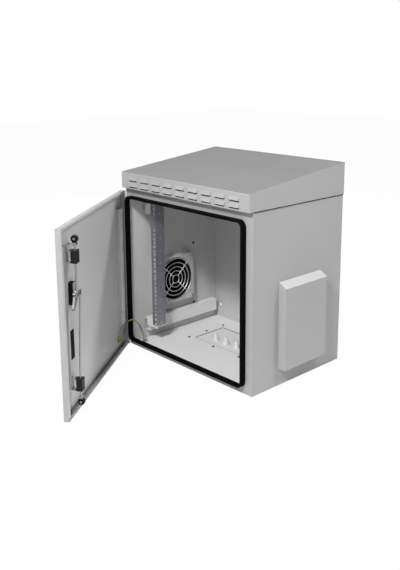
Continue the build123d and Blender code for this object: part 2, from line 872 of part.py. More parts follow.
# Door panel: a folded pan with return lips on three sides and the lock's cut-outs
housing_low = lock_height - housing_height / 2
with BuildPart(door_plane) as door_panel:
    block((door_start, door_end), (door_outer, door_inner), (door_low, door_high))
    outer_face = door_panel.faces().sort_by(Axis((0, 0, 0), tuple(door_plane.y_dir)))[0]
    fillet(outer_face.edges(), door_bend)
    block(
        (door_start + sheet, door_end - sheet),
        (skin_inner, door_inner - sheet),
        (door_low + sheet, door_high - sheet),
        mode=Mode.SUBTRACT,
    )
    block(
        (door_start + sheet, door_end - door_lip),
        (skin_inner, door_inner + overrun),
        (door_low + door_lip_bottom, door_high - door_lip_top),
        mode=Mode.SUBTRACT,
    )
    block(
        (door_start, door_start + sheet),
        (door_inner - overrun, hinge_flange),
        (door_low, door_high),
    )
    half_housing = housing_width / 2 + fit_gap
    block(
        (lock_along - half_housing, lock_along + half_housing),
        (door_outer - overrun, skin_inner + overrun),
        (housing_low - fit_gap, housing_low + housing_height + fit_gap),
        mode=Mode.SUBTRACT,
    )
    half_dish = dish_width / 2 + fit_gap
    block(
        (lock_along - half_dish, lock_along + half_dish),
        (door_outer - overrun, skin_inner + overrun),
        (dish_low - fit_gap, dish_high + fit_gap),
        mode=Mode.SUBTRACT,
    )
save(door_panel.part, "door_panel")

# Stiffeners: a hat strip at the hinge side and the channel that carries the lock
with BuildPart() as hinge_strip:
    with BuildSketch(on_door(Plane.XY.offset(strip_low))):
        strip_end = strip_start + strip_width
        points = [
            (strip_start, skin_inner),
            (strip_start, strip_top),
            (strip_end, strip_top),
            (strip_end, skin_inner),
        ]
        folded(points, sheet, Side.RIGHT)
    extrude(amount=strip_high - strip_low)
    with BuildSketch(door_face(strip_top)):
        with Locations(*[(strip_start + strip_width / 2, height) for height in strip_holes]):
            Circle(strip_hole_radius)
    extrude(amount=sheet, mode=Mode.SUBTRACT)
save(hinge_strip.part, "hinge_strip")

with BuildPart() as lock_channel:
    with BuildSketch(on_door(Plane.XY.offset(channel_low))):
        channel_end = channel_start + channel_width
        points = [
            (channel_start, skin_inner),
            (channel_start, channel_top),
            (channel_end, channel_top),
            (channel_end, skin_inner),
        ]
        folded(points, sheet, Side.RIGHT)
    extrude(amount=channel_high - channel_low)
    with BuildSketch(door_face(channel_top)):
        with Locations((lock_along, lock_height)):
            Rectangle(housing_width + 2 * cutout_gap, housing_height + 2 * cutout_gap)
        with Locations((lock_along, (dish_low + dish_high) / 2)):
            Rectangle(dish_width + 2 * cutout_gap, dish_high - dish_low + 2 * cutout_gap)
    extrude(amount=sheet, mode=Mode.SUBTRACT)
save(lock_channel.part, "lock_channel")

# Escutcheon outside the door, with the housing and the dish that pass through the skin
with BuildPart() as escutcheon:
    with BuildSketch(door_face(door_outer)):
        with Locations((lock_along, (escutcheon_low + escutcheon_high) / 2)):
            SlotOverall(escutcheon_high - escutcheon_low, escutcheon_width, rotation=90)
    extrude(amount=escutcheon_depth)
    rim = escutcheon.faces().sort_by(Axis((0, 0, 0), tuple(door_plane.y_dir)))[0]
    fillet(rim.edges(), door_bend)
    with BuildSketch(door_face(door_outer)):
        with Locations((lock_along, lock_height)):
            Rectangle(housing_width, housing_height)
    extrude(amount=-(housing_inner - door_outer))
    with BuildSketch(door_face(door_outer)):
        with Locations((lock_along, (dish_low + dish_high) / 2)):
            Rectangle(dish_width, dish_high - dish_low)
    extrude(amount=-(channel_top + dish_proud - door_outer))
    with BuildSketch(door_face(escutcheon_face)):
        with Locations((lock_along, lock_height)):
            Circle(spindle_radius + running_gap)
    extrude(amount=-(housing_inner - escutcheon_face), mode=Mode.SUBTRACT)
    with BuildSketch(door_face(escutcheon_face)):
        with Locations((lock_along, plug_height)):
            Circle(plug_radius + running_gap)
    extrude(amount=-plug_depth, mode=Mode.SUBTRACT)
save(escutcheon.part, "escutcheon")

with BuildPart() as key_plug:
    with BuildSketch(door_face(escutcheon_face - plug_proud)):
        with Locations((lock_along, plug_height)):
            Circle(plug_radius)
    extrude(amount=-(plug_depth + plug_proud - running_gap))
    with BuildSketch(door_face(escutcheon_face - plug_proud)):
        with Locations((lock_along, plug_height)):
            SlotOverall(plug_radius, keyway_width, rotation=90)
    extrude(amount=-keyway_depth, mode=Mode.SUBTRACT)
save(key_plug.part, "key_plug")

# Spindle: hub plate and lever lug outside, shaft through the housing, clamped cam inside
lever_turned = radians(lever_turn)
lever_x_dir = (-sin(lever_turned), 0, -cos(lever_turned))


def lever_face(inwards):
    """Plane on the lock axis, along the lever, facing outwards."""
    plane = Plane(origin=(lock_along, inwards, lock_height), x_dir=lever_x_dir, z_dir=(0, -1, 0))
    return on_door(plane)


lever_pin_level = lever_depth / 2 + hub_gap
with BuildPart() as spindle:
    with BuildSketch(door_face(hub_face)):
        with Locations((lock_along, lock_height)):
            Circle(hub_radius)
    extrude(amount=-hub_plate)
    with BuildSketch(door_face(hub_face)):
        with Locations((lock_along, lock_height)):
            Circle(spindle_radius)
    extrude(amount=-(cam_high - hub_face))
    with BuildSketch(lever_face(hub_face)):
        Rectangle(lug_length, lug_width)
    extrude(amount=lever_depth)
    with BuildSketch(on_door(Plane(
        origin=(lock_along, hub_face - lever_pin_level, lock_height),
        x_dir=(0, -1, 0),
        z_dir=(cos(lever_turned), 0, -sin(lever_turned)),
    ))):
        Circle(lever_pin_radius)
    extrude(amount=lever_root_radius - running_gap, both=True)
save(spindle.part, "spindle")

with BuildPart() as cam_nut:
    with BuildSketch(door_face(cam_high)):
        with Locations((lock_along, lock_height)):
            RegularPolygon(nut_across / 2, 6, major_radius=False)
    extrude(amount=-nut_height)
save(cam_nut.part, "cam_nut")

# Lock cam: throw arm with two pins, and the tongue that goes behind the frame
tongue_turn = radians(tongue_angle)
with BuildPart() as lock_cam:
    with BuildSketch(door_face(tongue_low)):
        with Locations((lock_along, lock_height)):
            SlotOverall(2 * cam_throw + cam_arm_width, cam_arm_width)
    extrude(amount=-cam_plate)
    with BuildSketch(door_face(tongue_low)):
        with Locations((lock_along, lock_height)):
            Circle(cam_arm_width)
            reach = tongue_length - tongue_width / 2
            with Locations((reach * sin(tongue_turn), -reach * cos(tongue_turn))):
                Circle(tongue_width / 2)
        make_hull()
    extrude(amount=-cam_plate)
    with BuildSketch(door_face(tongue_low)):
        with Locations((lock_along, lock_height)):
            Circle(spindle_radius + running_gap)
    extrude(amount=-cam_plate, mode=Mode.SUBTRACT)
    with BuildSketch(door_face(cam_high)):
        with Locations((lock_along, lock_height)):
            with GridLocations(2 * cam_throw, 0, 2, 1):
                Circle(cam_pin_radius)
    extrude(amount=-cam_pin_reach)
save(lock_cam.part, "lock_cam")

# Swing lever: tapered in plan and in depth, forked round the lug
with BuildPart() as swing_lever:
    with BuildSketch(lever_face(lever_under)):
        Circle(lever_root_radius)
        with Locations((lever_length - lever_tip_radius, 0)):
            Circle(lever_tip_radius)
        make_hull()
    extrude(amount=lever_depth)
    with BuildSketch(on_door(Plane(
        origin=(lock_along, lever_under, lock_height),
        x_dir=lever_x_dir,
        z_dir=(-cos(lever_turned), 0, sin(lever_turned)),
    ))):
        with Locations((0, lever_depth / 2)):
            Circle(lever_depth / 2)
        Polygon(
            (0, 0),
            (lever_length, 0),
            (lever_length, lever_tip_depth),
            (0, lever_depth),
            align=None,
        )
    extrude(amount=lever_root_radius, both=True, mode=Mode.INTERSECT)
    with BuildSketch(lever_face(lever_under)):
        Rectangle(2 * lever_slot, lug_width + 2 * fit_gap)
    extrude(amount=lever_depth, mode=Mode.SUBTRACT)
    with BuildSketch(on_door(Plane(
        origin=(lock_along, hub_face - lever_pin_level, lock_height),
        x_dir=(0, -1, 0),
        z_dir=(cos(lever_turned), 0, -sin(lever_turned)),
    ))):
        Circle(lever_pin_radius + running_gap)
    extrude(amount=lever_root_radius + overrun, both=True, mode=Mode.SUBTRACT)
save(swing_lever.part, "swing_lever")

# Rods with a roller fork at the far end and a slotted eye over the cam pin
pin_travel = cam_throw * (1 - cos(radians(lever_turn)))
eye_slot_length = pin_travel + 2 * (cam_pin_radius + eye_side_gap)
eye_slot_width = 2 * (cam_pin_radius + eye_lift_gap)
eye_height = eye_slot_width + 2 * eye_wall
ear_inner = roller_width / 2 + roller_side_gap
ear_outer = ear_inner + fork_ear
rod_sides = zip(("lower", "upper"), (-1, 1), guide_heights, roller_heights)
for level, sign, guide_height, roller_height in rod_sides:
    eye_along = lock_along + sign * (cam_throw - pin_travel / 2)
    rod_end = lock_height + sign * (eye_height - eye_wall) / 2
    fork_end = roller_height - sign * (roller_radius + fork_clear)
    fork_start = fork_end - sign * fork_base
    rod_bend = guide_height - sign * (guide_length / 2 + rod_straight)
    with BuildPart() as rod:
        with BuildLine(door_face(rod_inwards)):
            if sign > 0:
                Line((rod_along, fork_end), (rod_along, rod_end))
            else:
                FilletPolyline(
                    (rod_along, fork_end),
                    (rod_along, rod_bend),
                    (eye_along, rod_end),
                    radius=rod_straight,
                )
        with BuildSketch(on_door(Plane(origin=(rod_along, rod_inwards, fork_end), z_dir=(0, 0, -sign)))):
            Circle(rod_radius)
        sweep()
        with BuildSketch(door_face(rod_inwards - eye_plate / 2)):
            with Locations((eye_along, lock_height)):
                Rectangle(eye_slot_length + 2 * eye_wall, eye_height)
                SlotOverall(eye_slot_length, eye_slot_width, mode=Mode.SUBTRACT)
        extrude(amount=-eye_plate)
        with BuildSketch(on_door(Plane.YZ.offset(rod_along - ear_outer))):
            with Locations((rod_inwards, (fork_start + fork_end) / 2)):
                Rectangle(fork_depth, fork_base)
        extrude(amount=2 * ear_outer)
        for ear_start in (rod_along - ear_outer, rod_along + ear_inner):
            with BuildSketch(on_door(Plane.YZ.offset(ear_start))):
                with Locations((rod_inwards, (fork_start + roller_height) / 2)):
                    Rectangle(fork_depth, abs(roller_height - fork_start))
                with Locations((rod_inwards, roller_height)):
                    Circle(fork_depth / 2)
            extrude(amount=fork_ear)
        with BuildSketch(on_door(Plane.YZ.offset(rod_along - ear_outer))):
            with Locations((rod_inwards, roller_height)):
                Circle(axle_radius)
        extrude(amount=2 * ear_outer)
    save(rod.part, f"{level}_rod")

    with BuildPart() as roller:
        with BuildSketch(on_door(Plane.YZ.offset(rod_along - roller_width / 2))):
            with Locations((rod_inwards, roller_height)):
                Circle(roller_radius)
                Circle(axle_radius + running_gap, mode=Mode.SUBTRACT)
        extrude(amount=roller_width)
        fillet(roller.edges().group_by(SortBy.LENGTH)[-1], roller_edge)
    save(roller.part, f"{level}_roller")

    # Stirrup bracket on the channel, with the guide block on top
    guide_end = guide_height + guide_length / 2
    with BuildPart() as guide_bracket:
        with BuildSketch(on_door(Plane.YZ.offset(channel_end - guide_bracket_width))):
            points = [
                (channel_top, guide_end - guide_length),
                (guide_low, guide_end - guide_length),
                (guide_low, guide_end),
                (channel_top, guide_end),
            ]
            folded(points, guide_sheet, Side.LEFT)
        extrude(amount=guide_bracket_width)
    save(guide_bracket.part, f"{level}_guide_bracket")

    with BuildPart(door_plane) as rod_guide:
        block(
            (rod_along - guide_width / 2, rod_along + guide_width / 2),
            (guide_low, guide_high),
            (guide_end - guide_length, guide_end),
        )
        fillet(rod_guide.edges().filter_by(Axis.Z), guide_edge)
        with Locations((rod_along, rod_inwards, guide_height)):
            Cylinder(rod_radius + fit_gap, guide_length + overrun, mode=Mode.SUBTRACT)
    save(rod_guide.part, f"{level}_rod_guide")

# Earth studs: a stud with its nut, and a ring lug whose barrel points up
with BuildPart() as door_stud:
    with BuildSketch(door_face(skin_inner)):
        with Locations((door_stud_along, door_stud_height)):
            Circle(stud_radius)
    extrude(amount=-stud_length)
    with BuildSketch(door_face(skin_inner)):
        with Locations((door_stud_along, door_stud_height)):
            RegularPolygon(stud_nut_radius, 6)
    extrude(amount=-(lug_seat + lug_plate + stud_nut_height))
    with BuildSketch(door_face(skin_inner + lug_seat)):
        with Locations((door_stud_along, door_stud_height)):
            Circle(lug_ring_radius)
        with Locations((door_stud_along, door_stud_height + lug_rise / 2)):
            Rectangle(2 * lug_barrel_radius, lug_rise)
    extrude(amount=-lug_plate)
    with BuildSketch(on_door(Plane.XY.offset(door_stud_height + lug_rise))):
        with Locations((door_stud_along, skin_inner + lug_seat + lug_barrel_radius)):
            Circle(lug_barrel_radius)
    extrude(amount=-lug_barrel)
save(door_stud.part, "door_earth_stud")

with BuildPart() as floor_stud:
    with Locations((floor_stud_x, floor_stud_y, sheet)):
        Cylinder(stud_radius, stud_length, align=(Align.CENTER, Align.CENTER, Align.MIN))
    with BuildSketch(Plane.XY.offset(floor_top)):
        with Locations((floor_stud_x, floor_stud_y)):
            RegularPolygon(stud_nut_radius, 6)
    extrude(amount=lug_seat + lug_plate + stud_nut_height)
    with BuildSketch(Plane.XY.offset(floor_top + lug_seat)):
        with Locations((floor_stud_x, floor_stud_y)):
            Circle(lug_ring_radius)
        with Locations((floor_stud_x, floor_stud_y - lug_offset / 2)):
            Rectangle(2 * lug_barrel_radius, lug_offset)
        with Locations((floor_stud_x, floor_stud_y - lug_offset)):
            Circle(lug_barrel_radius)
    extrude(amount=lug_plate)
    with BuildSketch(Plane.XY.offset(floor_top + lug_seat)):
        with Locations((floor_stud_x, floor_stud_y - lug_offset)):
            Circle(lug_barrel_radius)
    extrude(amount=lug_barrel)
save(floor_stud.part, "floor_earth_stud")

# Earth wire from the door's lug, over the frame's rim, down to the floor's lug
wire_start_inwards = skin_inner + lug_seat + lug_barrel_radius
wire_start = on_door(Plane.XY).from_local_coords(
    Vector(door_stud_along, wire_start_inwards, door_stud_height + lug_rise + running_gap)
)
wire_end = Vector(floor_stud_x, floor_stud_y - lug_offset, floor_top + lug_seat + lug_barrel + running_gap)
wire_route = [wire_start, *[Vector(*point) for point in wire_points], wire_end]
wire_radii = []
for before, at, after in zip(wire_route, wire_route[1:], wire_route[2:]):
    half_turn = radians((at - before).get_angle(after - at)) / 2
    wire_radii.append(wire_arc_share * min((at - before).length, (after - at).length) / tan(half_turn))
print("earth wire radii", [round(radius) for radius in wire_radii])
with BuildPart() as earth_wire:
    with BuildLine():
        wire_path = FilletPolyline(*wire_route, radius=wire_radii)
    with BuildSketch(Plane(origin=wire_path @ 0, z_dir=wire_path % 0)):
        Circle(wire_radius)
    sweep()
save(earth_wire.part, "earth_wire")
wire_volume = pi * wire_radius**2 * wire_path.length
wire_volume_share = earth_wire.part.volume / wire_volume
print("earth wire length", round(wire_path.length), "volume share", round(wire_volume_share, 3))
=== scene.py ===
import bmesh
import bpy
import json
import math
from mathutils import Matrix, Vector


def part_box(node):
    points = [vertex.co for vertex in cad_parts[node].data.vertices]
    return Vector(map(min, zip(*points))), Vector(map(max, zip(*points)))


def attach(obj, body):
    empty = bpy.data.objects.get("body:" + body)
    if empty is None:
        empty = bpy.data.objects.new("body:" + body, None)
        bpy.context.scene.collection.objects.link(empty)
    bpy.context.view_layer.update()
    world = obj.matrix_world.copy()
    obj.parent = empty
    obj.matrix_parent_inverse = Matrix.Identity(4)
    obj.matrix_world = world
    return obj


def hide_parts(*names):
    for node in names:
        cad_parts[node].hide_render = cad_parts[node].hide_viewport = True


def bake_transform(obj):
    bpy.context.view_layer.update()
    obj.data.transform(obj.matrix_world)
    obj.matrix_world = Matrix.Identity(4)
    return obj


# Outdoor rack cabinet: finishes, wire work, screws, grommets and the earth wire, in metres.
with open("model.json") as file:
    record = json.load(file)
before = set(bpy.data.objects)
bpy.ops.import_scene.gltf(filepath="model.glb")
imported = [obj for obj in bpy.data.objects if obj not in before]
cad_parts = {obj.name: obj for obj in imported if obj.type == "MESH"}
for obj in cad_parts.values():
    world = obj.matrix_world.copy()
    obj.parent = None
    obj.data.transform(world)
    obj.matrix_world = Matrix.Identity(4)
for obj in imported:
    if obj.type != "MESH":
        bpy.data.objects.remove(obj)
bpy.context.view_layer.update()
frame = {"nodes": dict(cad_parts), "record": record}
nodes = frame["nodes"]
scene = bpy.context.scene
scene.view_settings.view_transform = "Standard"

# Camera, as the photograph was taken
frame_long = 570
frame_wide = 400
focal_pixels = 730.85
eye = Vector((1.7062, -1.6890, 0.9964))
view_yaw = math.radians(46.203)
view_pitch = math.radians(12.124)
view_roll = math.radians(-0.059)
middle_pixel = (220.3, 216.06)
sensor = 36

lens_view = bpy.data.cameras.new("photo_camera")
camera = bpy.data.objects.new("photo_camera", lens_view)
scene.collection.objects.link(camera)
backward = Vector((
    math.sin(view_yaw) * math.cos(view_pitch),
    -math.cos(view_yaw) * math.cos(view_pitch),
    math.sin(view_pitch),
))
turn = (-backward).to_track_quat("-Z", "Y") @ Matrix.Rotation(view_roll, 3, "Z").to_quaternion()
camera.matrix_world = Matrix.Translation(eye) @ turn.to_matrix().to_4x4()
lens_view.sensor_width = sensor
lens_view.lens = focal_pixels / frame_long * sensor
lens_view.shift_x = -(middle_pixel[0] - frame_wide / 2) / frame_long
lens_view.shift_y = (middle_pixel[1] - frame_long / 2) / frame_long
lens_view.clip_end = 50
scene.camera = camera


def grey(value):
    return (value, value, value)


def shade(colour, factor):
    return tuple(part * factor for part in colour)


class Finish:
    """A procedural finish: a principled shader with textures on object coordinates."""

    wear_and_highlight_cosine = 0.80
    flat_cosine = 0.99
    bore_fade = 0.0004

    def __init__(self, name, metallic=0.0):
        self.material = bpy.data.materials.new(name)
        self.material.use_nodes = True
        self.tree = self.material.node_tree
        self.shader = self.tree.nodes["Principled BSDF"]
        self.shader.inputs["Metallic"].default_value = metallic
        self.place = self.add("ShaderNodeTexCoord").outputs["Object"]

    def add(self, kind, **settings):
        node = self.tree.nodes.new(kind)
        for key, value in settings.items():
            setattr(node, key, value)
        return node

    def join(self, source, target):
        self.tree.links.new(source, target)

    def stretched(self, factors):
        mapping = self.add("ShaderNodeMapping")
        mapping.inputs["Scale"].default_value = factors
        self.join(self.place, mapping.inputs["Vector"])
        return mapping.outputs["Vector"]

    def noise(self, scale, detail, source=None):
        node = self.add("ShaderNodeTexNoise")
        node.inputs["Scale"].default_value = scale
        node.inputs["Detail"].default_value = detail
        self.join(source or self.place, node.inputs["Vector"])
        return node.outputs["Fac"]

    def cells(self, scale):
        node = self.add("ShaderNodeTexVoronoi")
        node.inputs["Scale"].default_value = scale
        self.join(self.place, node.inputs["Vector"])
        return node.outputs["Color"]

    def spread(self, source, low, high, start=0.3, end=0.7):
        """Goes from low to high where the source goes from start to end."""
        node = self.add("ShaderNodeMapRange")
        for key, value in (("From Min", start), ("From Max", end), ("To Min", low), ("To Max", high)):
            node.inputs[key].default_value = value
        self.join(source, node.inputs["Value"])
        return node.outputs["Result"]

    def ramp(self, source, stops):
        node = self.add("ShaderNodeValToRGB")
        points = node.color_ramp.elements
        while len(points) < len(stops):
            points.new(0.5)
        for point, (place, colour) in zip(points, stops):
            point.position = place
            point.color = (*colour, 1)
        self.join(source, node.inputs["Fac"])
        return node.outputs["Color"]

    def tinted(self, source, colour, low, high, start=0.3, end=0.7):
        """The colour, times low to high where the source goes from start to end."""
        return self.ramp(source, ((start, shade(colour, low)), (end, shade(colour, high))))

    def mix(self, share, first, second, blend="MIX"):
        node = self.add("ShaderNodeMix", data_type="RGBA", blend_type=blend)
        for value, socket in ((share, node.inputs[0]), (first, node.inputs[6]), (second, node.inputs[7])):
            if isinstance(value, bpy.types.NodeSocket):
                self.join(value, socket)
            else:
                socket.default_value = value
        return node.outputs[2]

    def reckon(self, operation, source, fixed):
        """Outputs of a vector operation on a source and a fixed vector."""
        node = self.add("ShaderNodeVectorMath", operation=operation)
        self.join(source, node.inputs[0])
        node.inputs[1].default_value = fixed
        return node.outputs

    def edges(self, width):
        """Softened normal, and 1 on the edges that it rounds."""
        bevel = self.add("ShaderNodeBevel", samples=4)
        bevel.inputs["Radius"].default_value = width
        flat = self.add("ShaderNodeNewGeometry")
        dot = self.add("ShaderNodeVectorMath", operation="DOT_PRODUCT")
        self.join(bevel.outputs["Normal"], dot.inputs[0])
        self.join(flat.outputs["Normal"], dot.inputs[1])
        wear_and_highlight = self.spread(dot.outputs["Value"], 1, 0, self.wear_and_highlight_cosine, self.flat_cosine)
        return bevel.outputs["Normal"], wear_and_highlight

    def height(self):
        parts = self.add("ShaderNodeSeparateXYZ")
        self.join(self.place, parts.inputs["Vector"])
        return parts.outputs["Z"]

    def facing(self, direction, start, end):
        """1 where the surface faces the direction, 0 where it turns away from it."""
        normal = self.add("ShaderNodeTexCoord").outputs["Normal"]
        return self.spread(self.reckon("DOT_PRODUCT", normal, direction)["Value"], 0, 1, start, end)

    def inside_bore(self, centre, radius):
        """1 within the radius of an axis along X, 0 outside it."""
        away = self.reckon("DISTANCE", self.stretched((0, 1, 1)), (0, centre[1], centre[2]))
        return self.spread(away["Value"], 1, 0, radius, radius + self.bore_fade)

    def colour(self, source):
        self.join(source, self.shader.inputs["Base Color"])

    def rough(self, source, low, high):
        self.join(self.spread(source, low, high), self.shader.inputs["Roughness"])

    def gleam(self, level):
        self.shader.inputs["Specular IOR Level"].default_value = level

    def bump(self, source, height, strength, under=None):
        node = self.add("ShaderNodeBump")
        node.inputs["Strength"].default_value = strength
        node.inputs["Distance"].default_value = height
        self.join(source, node.inputs["Height"])
        if under is not None:
            self.join(under, node.inputs["Normal"])
        self.join(node.outputs["Normal"], self.shader.inputs["Normal"])


# Near black that stands for painted shade.
painted_shade_black = grey(0.015)
film_cloud = (0.965, 1.025)
flow_marks = (0.8, 1.25)
painted_shade_share = 0.48
painted_highlight_share = 1.33
highlit_edge_share = 1.25
band_fade = 0.001
sleeve_fade = 0.0003


def orange_peel(finish, under):
    finish.rough(finish.noise(scale=240, detail=2), low=0.42, high=0.56)
    finish.bump(finish.noise(scale=620, detail=2), height=0.00022, strength=0.35, under=under)
    return finish.material


def sprayed(finish, colour, film):
    """Specks, pale worn edges with a painted highlight, and orange peel over a film of powder coat."""
    speck = finish.spread(finish.noise(scale=1300, detail=1), low=0.93, high=1.05)
    film = finish.mix(0.5, film, speck, "MULTIPLY")
    soft, wear_and_highlight = finish.edges(width=0.0012)
    # Rounded edges paler: partly wear, partly a painted highlight.
    highlit_edge = (*shade(colour, highlit_edge_share), 1)
    finish.colour(finish.mix(finish.spread(wear_and_highlight, low=0, high=0.35, start=0, end=1), film, highlit_edge))
    return orange_peel(finish, soft)


def powder_coat(name, colour, inner=None, inwards=None, painted_shade_below=None, painted_shade_disc=None, painted_highlight_slope=None):
    """Cloudy powder coat whose inner side can be painted paler as painted light or darker as painted
    shade, with a painted shade band and disc and a painted highlight on a slope.
    """
    finish = Finish(name)
    cloud = finish.noise(scale=5, detail=3)
    film = finish.tinted(cloud, colour, *film_cloud)
    # The inner side takes its own tone: painted light where it is paler, painted shade where it is darker.
    if inwards is not None:
        inner_film = finish.tinted(cloud, inner, *film_cloud)
        # Painted shade: a darker band along the foot of the inner side.
        if painted_shade_below is not None:
            painted_shade_band = finish.spread(finish.height(), 1, 0, painted_shade_below, painted_shade_below + band_fade)
            inner_film = finish.mix(painted_shade_band, inner_film, (*shade(inner, painted_shade_share), 1))
        # Painted shade: a near-black disc on the inner side round an axis along X.
        if painted_shade_disc is not None:
            inner_film = finish.mix(finish.inside_bore(*painted_shade_disc), inner_film, (*painted_shade_black, 1))
        film = finish.mix(finish.facing(inwards, start=0.2, end=0.5), film, inner_film)
    # Painted highlight: paler where the surface faces up the given slope.
    if painted_highlight_slope is not None:
        pale = (*shade(colour, painted_highlight_share), 1)
        film = finish.mix(finish.facing(painted_highlight_slope, start=0.93, end=0.97), film, pale)
    return sprayed(finish, colour, film)


def top_shaded_coat(name, colour, top_shade):
    """The same powder coat, painted darker with a cloudy tone wherever it faces the sky, as painted shade.
    """
    finish = Finish(name)
    film = finish.tinted(finish.noise(scale=5, detail=3), colour, *film_cloud)
    faces_up = finish.facing((0, 0, 1), start=0.75, end=0.98)
    drift = finish.tinted(finish.noise(scale=9, detail=4), top_shade, low=0.96, high=1.05)
    return sprayed(finish, colour, finish.mix(faces_up, film, drift))


def capped_coat(name, colour, cap, direction, start):
    """Powder coat under a dull black cap, which begins at a distance along the direction."""
    finish = Finish(name)
    film = finish.tinted(finish.noise(scale=5, detail=3), colour, *film_cloud)
    along = finish.reckon("DOT_PRODUCT", finish.place, direction)["Value"]
    capped = finish.spread(along, 0, 1, start, start + sleeve_fade)
    finish.colour(finish.mix(capped, film, (*cap, 1)))
    soft, _ = finish.edges(width=0.0008)
    return orange_peel(finish, soft)


def zinc_plated(name, colour):
    """Passivated zinc on steel: bluish, faintly spangled, drawn lengthwise."""
    finish = Finish(name, metallic=0.75)
    spangle = finish.cells(scale=150)
    tint = finish.tinted(spangle, colour, low=0.94, high=1.06, start=0.1, end=0.9)
    bluish = (0.97, 0.96, 1.0)
    yellowish = (1.0, 0.99, 0.96)
    drift = finish.ramp(finish.noise(scale=14, detail=3), ((0.35, bluish), (0.65, yellowish)))
    soft, wear_and_highlight = finish.edges(width=0.0014)
    tint = finish.mix(1.0, tint, drift, "MULTIPLY")
    # Rounded edges much paler: partly rubbed zinc, partly a painted highlight.
    rubbed_and_highlit = (*shade(colour, 1.9), 1)
    finish.colour(finish.mix(finish.spread(wear_and_highlight, low=0, high=0.8, start=0, end=1), tint, rubbed_and_highlit))
    finish.rough(spangle, low=0.34, high=0.5)
    drawn = finish.noise(scale=90, detail=2, source=finish.stretched((14, 14, 0.6)))
    finish.bump(drawn, height=0.00008, strength=0.5, under=soft)
    return finish.material


def plated(finish, dull):
    """Uneven gloss and turning marks of plated steel."""
    finish.rough(dull, low=0.42, high=0.3)
    soft, _ = finish.edges(width=0.0005)
    marks = finish.noise(scale=500, detail=2, source=finish.stretched((1, 1, 5)))
    finish.bump(marks, height=0.00003, strength=0.2, under=soft)
    return finish.material


def plated_steel(name, colour):
    """Bright plated steel with turning marks and a few dull spots."""
    finish = Finish(name, metallic=1.0)
    dull = finish.noise(scale=60, detail=3)
    finish.colour(finish.tinted(dull, colour, low=0.9, high=1.06, end=0.65))
    return plated(finish, dull)


def sleeved_rod(name, colour, sleeve, centre, axis, radius, hub):
    """Bright plated rod whose end lies in a dull black sleeve round a bare hub."""
    finish = Finish(name, metallic=1.0)
    dull = finish.noise(scale=60, detail=3)
    steel = finish.tinted(dull, colour, low=0.9, high=1.06, end=0.65)
    offset = finish.reckon("SUBTRACT", finish.place, centre)["Vector"]
    length = finish.add("ShaderNodeVectorMath", operation="LENGTH")
    finish.join(finish.reckon("CROSS_PRODUCT", offset, axis)["Vector"], length.inputs[0])
    away = length.outputs["Value"]
    in_sleeve = finish.spread(away, 1, 0, radius, radius + sleeve_fade)
    on_hub = finish.spread(away, 1, 0, hub, hub + sleeve_fade)
    sleeved = finish.mix(in_sleeve, steel, (*sleeve, 1))
    finish.colour(finish.mix(on_hub, sleeved, steel))
    return plated(finish, dull)


def foam_rubber(name, colour):
    """Closed-cell seal rubber: matt skin with fine pores."""
    finish = Finish(name)
    pores = finish.noise(scale=1500, detail=3)
    finish.colour(finish.tinted(pores, colour, low=0.6, high=1.7, start=0.35))
    finish.rough(finish.noise(scale=60, detail=2), low=0.62, high=0.8)
    finish.gleam(0.03)
    soft, _ = finish.edges(width=0.0010)
    finish.bump(pores, height=0.00018, strength=0.5, under=soft)
    return finish.material


def spark_grained(finish, grain, low, high):
    """Gloss and grain of a spark-eroded mould."""
    finish.rough(grain, low, high)
    soft, _ = finish.edges(width=0.0008)
    finish.bump(grain, height=0.00014, strength=0.45, under=soft)
    return finish.material


def moulded_plastic(name, colour, low=0.38, high=0.55):
    """Moulded plastic or die casting with a spark-eroded grain."""
    finish = Finish(name)
    finish.colour(finish.tinted(finish.noise(scale=35, detail=2), colour, *flow_marks))
    finish.gleam(0.2)
    return spark_grained(finish, finish.noise(scale=1100, detail=2), low, high)


def lock_casting(name, colour, bare, inwards, above):
    """Dull black casting whose inner end is left as bare metal above a height."""
    finish = Finish(name)
    grain = finish.noise(scale=1100, detail=2)
    film = finish.tinted(finish.noise(scale=35, detail=2), colour, *flow_marks)
    metal = finish.tinted(grain, bare, low=0.94, high=1.06)
    upper = finish.spread(finish.height(), 0, 1, above, above + band_fade)
    bare_share = finish.add("ShaderNodeMath", operation="MULTIPLY")
    finish.join(upper, bare_share.inputs[0])
    finish.join(finish.facing(inwards, start=0.8, end=0.95), bare_share.inputs[1])
    finish.colour(finish.mix(bare_share.outputs[0], film, metal))
    finish.gleam(0.05)
    return spark_grained(finish, grain, low=0.5, high=0.66)


def bored_casting(name, colour, bore_shade_colour, centre, radius):
    """Pale die casting whose round bore along X is painted dark as painted shade."""
    finish = Finish(name)
    flow = finish.noise(scale=35, detail=2)
    pale = finish.tinted(flow, colour, low=0.9, high=1.1)
    dark = finish.tinted(flow, bore_shade_colour, *flow_marks)
    finish.colour(finish.mix(finish.inside_bore(centre, radius), pale, dark))
    return spark_grained(finish, finish.noise(scale=1100, detail=2), low=0.4, high=0.55)


def soft_rubber(name, colour):
    """Pale, slightly clear rubber with moulding rings."""
    finish = Finish(name)
    bloom = finish.noise(scale=160, detail=3)
    finish.colour(finish.tinted(bloom, colour, low=0.93, high=1.05))
    finish.rough(bloom, low=0.42, high=0.6)
    finish.shader.inputs["Subsurface Weight"].default_value = 0.25
    finish.shader.inputs["Subsurface Radius"].default_value = (0.004, 0.004, 0.004)
    rings = finish.noise(scale=300, detail=1, source=finish.stretched((0.1, 0.1, 4)))
    finish.bump(rings, height=0.0001, strength=0.4)
    return finish.material


